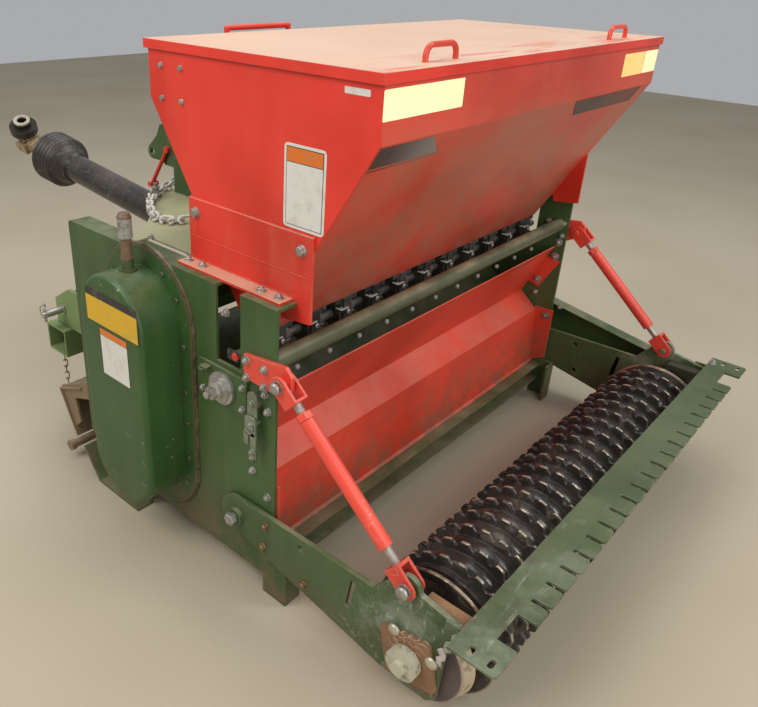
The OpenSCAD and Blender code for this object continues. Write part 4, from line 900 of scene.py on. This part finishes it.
def straw(bm):
    """Dry stalks that lie on the front guard, and every third one on the hitch bar."""
    guard_slope, guard_rear, guard_front = -0.406, 1012, 1130
    for k in range(46):
        on_guard = k % 3
        x = rng.uniform(-690, 690)
        t = rng.random()
        y, z = (guard_rear + 123 * t, 259 - 50 * t) if on_guard else (1136 + 85 * t, 397)
        heading = rng.uniform(0, math.tau)
        long = rng.uniform(18, 65)
        slope = guard_slope if on_guard else 0.0
        d = Vector((math.cos(heading), math.sin(heading), slope * math.sin(heading))) * long * MM
        if on_guard and not guard_rear < y + d.y / MM < guard_front:
            d.y, d.z = 0, 0
        base = at(x, y, z)
        swept(bm, [base, base + d * 0.5 + Vector((0, 0, 0.002)), base + d], 0.7, 5)


straw_dry = vinyl("straw_dry", (0.5, 0.38, 0.19), 0.4, 0.8)
piece("straw", "frame", straw_dry, straw)


def yoke_splines(bm):
    """Six splines in the front yoke's bore."""
    u, v = frame_of(YOKE_AXIS)
    for c, s in circle(6):
        out = u * c + v * s
        across = YOKE_AXIS.cross(out)
        slab(bm, YOKE_JOINT + YOKE_AXIS * 0.037 + out * 0.0176 - across * 0.004, across, YOKE_AXIS, 8, 64, 2.4)


piece("yoke_splines", "frame", yoke_steel, yoke_splines)

RING_PITCH, RINGS, RING_STEPS = 63.5, 19, 210
NOTCHES, NOTCH_DEPTH, NOTCH_FLAT, NOTCH_FALL, RING_PHASE = 21, 12.0, 1.0, 13.0, 5.3
TIP_R, RIDGE_R = 154.5, 137.8
# Half of a ring's section: distance from its middle, radius, and share of the notch's depth
RING_SECTION = ((0, TIP_R, 1), (2.6, TIP_R - 0.2, 1), (4, TIP_R - 1.2, 1), (5, TIP_R - 3.5, 0.95), (6.2, 138.5, 0.1),
                (7.6, 130, 0), (9.6, 127.6, 0), (12, 129.4, 0), (15.5, 132.8, 0), (20, 135.6, 0), (25.5, 137.2, 0))


def ring_middle(i):
    return (i - (RINGS - 1) / 2) * RING_PITCH


def notch_dip(i, angle):
    """How deep ring i is notched at this angle: 1 in a notch's middle and 0 on a tooth."""
    turn = (angle - math.radians(i * RING_PHASE)) * NOTCHES / math.tau
    away = abs(turn - round(turn)) * math.tau * TIP_R / NOTCHES
    return 0.5 + 0.5 * math.cos(math.pi * min(1.0, max(0.0, (away - NOTCH_FLAT) / NOTCH_FALL)))


def press_rings(bm):
    """The row of rings as one skin: scalloped rims, a crevice beside each and a rounded ridge between them."""
    half = [(-x, r, m) for x, r, m in reversed(RING_SECTION[1:])]
    section = half + list(RING_SECTION) + [(RING_PITCH / 2, RIDGE_R, 0)]
    angles = [k * math.tau / RING_STEPS for k in range(RING_STEPS)]

    def row(x, radii):
        return [bm.verts.new(at(x, ROLLER[0] + r * math.cos(a), ROLLER[1] + r * math.sin(a)))
                for r, a in zip(radii, angles)]

    rows = [row(-RINGS * RING_PITCH / 2, [RIDGE_R] * RING_STEPS)]
    for i in range(RINGS):
        dips = [notch_dip(i, angle) for angle in angles]
        rows += [row(ring_middle(i) + x, [r - share * NOTCH_DEPTH * dip for dip in dips]) for x, r, share in section]
    solid(bm, rows)


def end_rings(bm):
    """A smooth half ring at each end, hollow towards its hub."""
    section = [(24, 0.5), (124, 0.5), (120.5, 4), (121.5, 8), (131, 13), (144, 18.5), (149.2, 20.8), (150.5, 22),
               (150.5, 28), (149.6, 29), (111, 29), (107, 27), (104, 18.5), (62, 18.5), (58, 20), (53, 28), (50, 29),
               (24, 29)]
    for foot, axis in both([(-RINGS * RING_PITCH / 2, *ROLLER)]):
        turned(bm, foot, axis, section, 128)


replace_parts(piece("press_rings", "roller", black_iron, press_rings, 40), "roller_rings")
piece("end_rings", "roller", end_iron, end_rings, 40)

BAR_Y, BAR_Z, BAR_DEEP, BAR_HALF, BAR_THICK = -337, 320, 101, 785, 6
SLOT_WIDE, SLOT_LONG, TOOTH_R = 11.5, 42, 7.0


def bar_edge():
    """The scraper bar's outline, rear edge from left to right with its slots and rounded teeth."""
    rear = BAR_Y - BAR_DEEP
    end = [(BAR_HALF, rear + 6), (BAR_HALF - 6, rear), (706, rear), (706, rear + 43), (623.25, rear + 43),
           (623.25, rear + 5), (618, rear)]
    points = [(-x, y) for x, y in end]
    for i in range(RINGS):
        x = ring_middle(i)
        for s in (-1, 1):
            side = [(x + s * (SLOT_WIDE / 2 + TOOTH_R * (1 - math.sin(a))), rear + TOOTH_R * (1 - math.cos(a)))
                    for a in [math.radians(turn) for turn in range(0, 91, 15)]]
            side += [(x + s * SLOT_WIDE / 2, rear + SLOT_LONG - 3), (x + s * (SLOT_WIDE / 2 - 3), rear + SLOT_LONG)]
            points += side if s < 0 else list(reversed(side))
    return points + list(reversed(end)) + [(BAR_HALF, BAR_Y), (-BAR_HALF, BAR_Y)]


def slotted_bar(bm):
    """The scraper bar with four slotted holes, and a foot at each end."""
    holes = [arc((s * 761 + 5, y), 6.5, range(-90, 91, 30)) + arc((s * 761 - 5, y), 6.5, range(90, 271, 30))
             for s in (-1, 1) for y in (BAR_Y - 38, BAR_Y - 80)]
    outline, *holes = [[at(x, y, BAR_Z) for x, y in loop] for loop in [bar_edge()] + holes]
    prism(bm, outline, Vector((0, 0, BAR_THICK * MM)), holes)
    for s in (-1, 1):
        foot = [at(s * 725, BAR_Y + y, BAR_Z + z) for y, z in ((34, 1), (-24, 1), (-20, -36), (14, -76), (40, -70))]
        prism(bm, foot, Vector((s * BAR_THICK * MM, 0, 0)))


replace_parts(piece("slotted_bar", "roller_frame", green_bar, slotted_bar), "scraper_bar")

GUARD_R, GUARD_FRONT, BELL_R, BELL_LONG = 47, 735, 77, 160
BELL_RIBS, RIB_STEPS, RIB_RUN, RIB_HIGH = 5, 6, 100, 12


def guard_skin(bm):
    """The drive shaft's guard: rear cone, tube, collar and a bell with deep round ribs."""
    r, front, end = GUARD_R, GUARD_FRONT, GUARD_FRONT + BELL_LONG
    section = [(80, -60), (80, 40), (r + 4, 95), (r, 97), (r, front), (r + 8, front + 5), (r + 8, front + 30),
               (r + 4, front + 33)]
    section += [(r + 4 + (74 - r - 4) * k / 6, front + 33 + 26 * k / 6) for k in range(1, 6)]
    steps = BELL_RIBS * RIB_STEPS
    for k in range(steps + 1):
        rib = RIB_HIGH * math.sin(math.pi * (k / RIB_STEPS % 1)) ** 0.6
        section.append((BELL_R + 2 * k / steps + rib, end - RIB_RUN + RIB_RUN * k / steps))
    section += [(79, end), (74, end - 4), (70, end - 98), (r, front + 40), (r - 4, front + 4), (r - 4, 99), (76, 38),
                (76, -60)]
    turned(bm, at(*SHAFT_AT), SHAFT_AXIS, section, 72, hollow=True)


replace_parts(piece("shaft_guard", "frame", tube_plastic, guard_skin, 50), "pto_guard")


def handle_hoops(bm):
    """The lid's two round-cornered handles, bent from bar."""
    y, shoulder, bend, half = 50, 1290, 20, 51.5
    for x in (-411, 435):
        path = [(x - half, shoulder - 12), (x - half, shoulder)]
        path += arc((x - half + bend, shoulder), bend, range(180, 89, -15))
        path += arc((x + half - bend, shoulder), bend, range(90, -1, -15))
        path += [(x + half, shoulder - 12)]
        swept(bm, [at(x, y, z) for x, z in path], 6, 16, 0.02)


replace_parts(piece("handle_hoops", "hopper_lid", red_bright, handle_hoops, 60), "lid_handles")


def scale_plate(bm):
    """The adjuster's plate with its short tab on top."""
    slab(bm, at(PLATE_FACE, 435, 500), BACKWARD, UP, 165, 98, 8, 4)
    slab(bm, at(SCALE_FACE, 412, 592), BACKWARD, OUT_LEFT, 24, 18, 6, 3)


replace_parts(piece("scale_plate", "frame", green, scale_plate), "adjuster_plate")


def lever_parts(bm):
    """The release lever: a rounded upper plate, a pin with its nut, and a lower plate with two feet."""
    slab(bm, at(-722, 256, 512), BACKWARD, UP, 30, 78, 5, 14.5)
    for y, z, width, height, r in ((258, 478, 34, 50, 8), (240, 424, 17, 62, 7), (262, 448, 15, 40, 7)):
        slab(bm, at(LEVER_FACE, y, z), BACKWARD, UP, width, height, 5, r)
    turned(bm, at(PLATE_FACE, 240, 560), OUT_LEFT, [(15, 0), (15, 14), (8, 14), (8, 26), (7, 27)])
    turned(bm, at(PLATE_FACE, 240, 505), OUT_LEFT, [(8, 0), (8, 30), (7, 31)])
    hex_bolt(bm, at(LEVER_FACE - 5, 234, 436), OUT_LEFT, 11, 3)
    ring = [at(LEVER_FACE - 9, 241 + 11 * c, 497 + 11 * s) for c, s in circle(20)]
    swept(bm, ring + ring[:1], 1.5)


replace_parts(piece("lever_parts", "frame", lever_zinc, lever_parts), "release_lever")


def case_bead(bm):
    """Brown sealant along the chain case's flange, laid by hand."""
    steps, r, wobble = 240, 177.5, 1.6
    rise, bend = GEAR_Z - ROTOR[1], math.pi * r
    path = []
    for k in range(steps + 1):
        along = k / steps * (2 * bend + 2 * rise)
        if along < rise:
            y, z = ROTOR[0] - r, ROTOR[1] + along
        elif along < rise + bend:
            a = math.pi - (along - rise) / r
            y, z = ROTOR[0] + r * math.cos(a), GEAR_Z + r * math.sin(a)
        elif along < 2 * rise + bend:
            y, z = ROTOR[0] + r, GEAR_Z - (along - rise - bend)
        else:
            a = -(along - 2 * rise - bend) / r
            y, z = ROTOR[0] + r * math.cos(a), ROTOR[1] + r * math.sin(a)
        path.append(at(PLATE_FACE - 1, y + rng.uniform(-wobble, wobble), z + rng.uniform(-wobble, wobble)))
    swept(bm, path[:-1] + path[:1], 5.4, 6, 0.4)


sealant = caked("sealant", (0.085, 0.06, 0.028), (0.13, 0.095, 0.05), 0.5)
piece("case_bead", "frame", sealant, case_bead, 180)


def inner_bolts(bm):
    """Bolts on the right side plate's inner face, four of them on thick washers."""
    bolts(bm, on_left(SIDE_X, ((257, 663), (202, 665), (201, 622), (259, 394), (158, 367))), 14, 3)
    for x, y, z in ((SIDE_X, 210, 597), (694, 209, 545), (694, 258, 447), (694, 203, 320)):
        turned(bm, at(x, y, z), OUT_LEFT, [(15, 0), (15, 2), (14, 2.5)])
        hex_bolt(bm, at(x - 2, y, z), OUT_LEFT, 14, 3, False)


piece("inner_bolts", "frame", bolt_metal, inner_bolts)
piece("arm_plugs", "roller_frame", rusty_bolt, lambda bm: bolts(bm, on_left(ARM_FACE, ARM_HOLES), 14, 1))

CUP_X = [k * 118.5 for k in range(-5, 6)]


def cup_domes(bm):
    for x in CUP_X:
        dome_bolt(bm, at(x, 279, 652), BACKWARD, 15)


def cup_plates(bm):
    """A small plate over each seed cup, a tab on its side and a plug low down."""
    for x in CUP_X:
        slab(bm, at(x - 30, 277, 663), ALONG, FORWARD, 32, 22, 1.5, 3)
        slab(bm, at(x + 28, 276, 628), ALONG, UP, 13, 10, 2, 3)
        turned(bm, at(x + 51, 280, 566), BACKWARD, [(7, 0), (7, 5), (5.5, 6.5)], 20)


piece("cup_domes", "frame", bolt_metal, cup_domes)
piece("cup_plates", "frame", pale_plastic, cup_plates)


def rag(bm):
    """A torn strip of faded wrap at the bar's left fixing, of which only the first quads are left."""
    down_steps, across_steps, left = 14, 6, 17
    rows = []
    for i in range(down_steps + 1):
        a = i / down_steps
        row = []
        for j in range(across_steps + 1):
            b = j / across_steps
            x = -733.5 - 4.5 * math.sin(9 * a + 5 * b) ** 2 - 3 * b
            y = -300 - 62 * a + 5 * math.sin(11 * b)
            z = 246 - 52 * b * (1 - 0.35 * a) + 9 * math.sin(7 * a + 2 * b)
            row.append(bm.verts.new(at(x, y, z + rng.uniform(-2.5, 2.5) * (j == across_steps))))
        rows.append(row)
    for lower, upper in zip(rows, rows[1:]):
        for j in range(across_steps):
            if len(bm.faces) < left:
                bm.faces.new((lower[j], lower[j + 1], upper[j + 1], upper[j]))


rag_cloth = vinyl("rag_cloth", (0.5, 0.44, 0.4), 0.5, 0.85)
torn = piece("torn_wrap", "roller_frame", rag_cloth, rag)
torn.modifiers.new("thick", "SOLIDIFY").thickness = 0.0012


def shaft_end(bm):
    """A dark bracket and the meter shaft's end, in the side plate's notch."""
    slab(bm, at(-703, 342, 628), BACKWARD, UP, 34, 26, 4, 4)
    hex_bolt(bm, at(-707, 333, 647), OUT_LEFT, 10, 2, False)


piece("shaft_end", "frame", cup_plastic, shaft_end)
piece("shaft_stub", "frame", red,
      lambda bm: turned(bm, at(-701, 318, 640), OUT_LEFT, [(11, 0), (11, 5), (9, 7)]))

# Floor and light
FLOOR_HALF = 9.0
floor_mesh = bpy.data.meshes.new("floor")
floor_mesh.from_pydata([(x * FLOOR_HALF, y * FLOOR_HALF, 0) for x, y in ((-1, -1), (1, -1), (1, 1), (-1, 1))], [],
                       [(0, 1, 2, 3)])
floor = show("floor", floor_mesh)
g = Graph("floor_plain")
g.colour = g.mix(g.spots(0.3, 0.7, 0.9, 2), (0.42, 0.36, 0.26), (0.46, 0.4, 0.3))
floor_mesh.materials.append(g.finish(0.85, g.noise(40, 3), 0.0006))

world = bpy.data.worlds.new("world")
world.use_nodes = True
sky = world.node_tree.nodes["Background"]
sky.inputs["Color"].default_value = (0.95, 0.97, 1.0, 1)
sky.inputs["Strength"].default_value = 0.42
bpy.context.scene.world = world


def area(name, place, target, size, power, colour=(1, 1, 1)):
    """An area light at a place, turned towards its target, with its power in watts."""
    data = bpy.data.lights.new(name, "AREA")
    data.size = size
    data.energy = power
    data.color = colour
    light = show(name, data)
    light.location = place
    light.rotation_euler = (Vector(target) - Vector(place)).to_track_quat("-Z", "Y").to_euler()


area("key", (-3.6, 0.9, 4.0), (0, 0, 0.5), 2.6, 125, (1.0, 0.98, 0.94))
area("top", (0.6, 0.4, 4.6), (0, 0, 0.4), 3.4, 95)
area("rear", (1.6, -3.2, 3.6), (0, -0.2, 0.2), 1.2, 40, (1.0, 0.98, 0.95))
area("fill", (-1.5, -4.2, 2.4), (0, 0, 0.5), 3.0, 85, (1.0, 0.99, 0.96))

bpy.context.scene.view_settings.view_transform = "Standard"
bpy.context.scene.view_settings.look = "None"
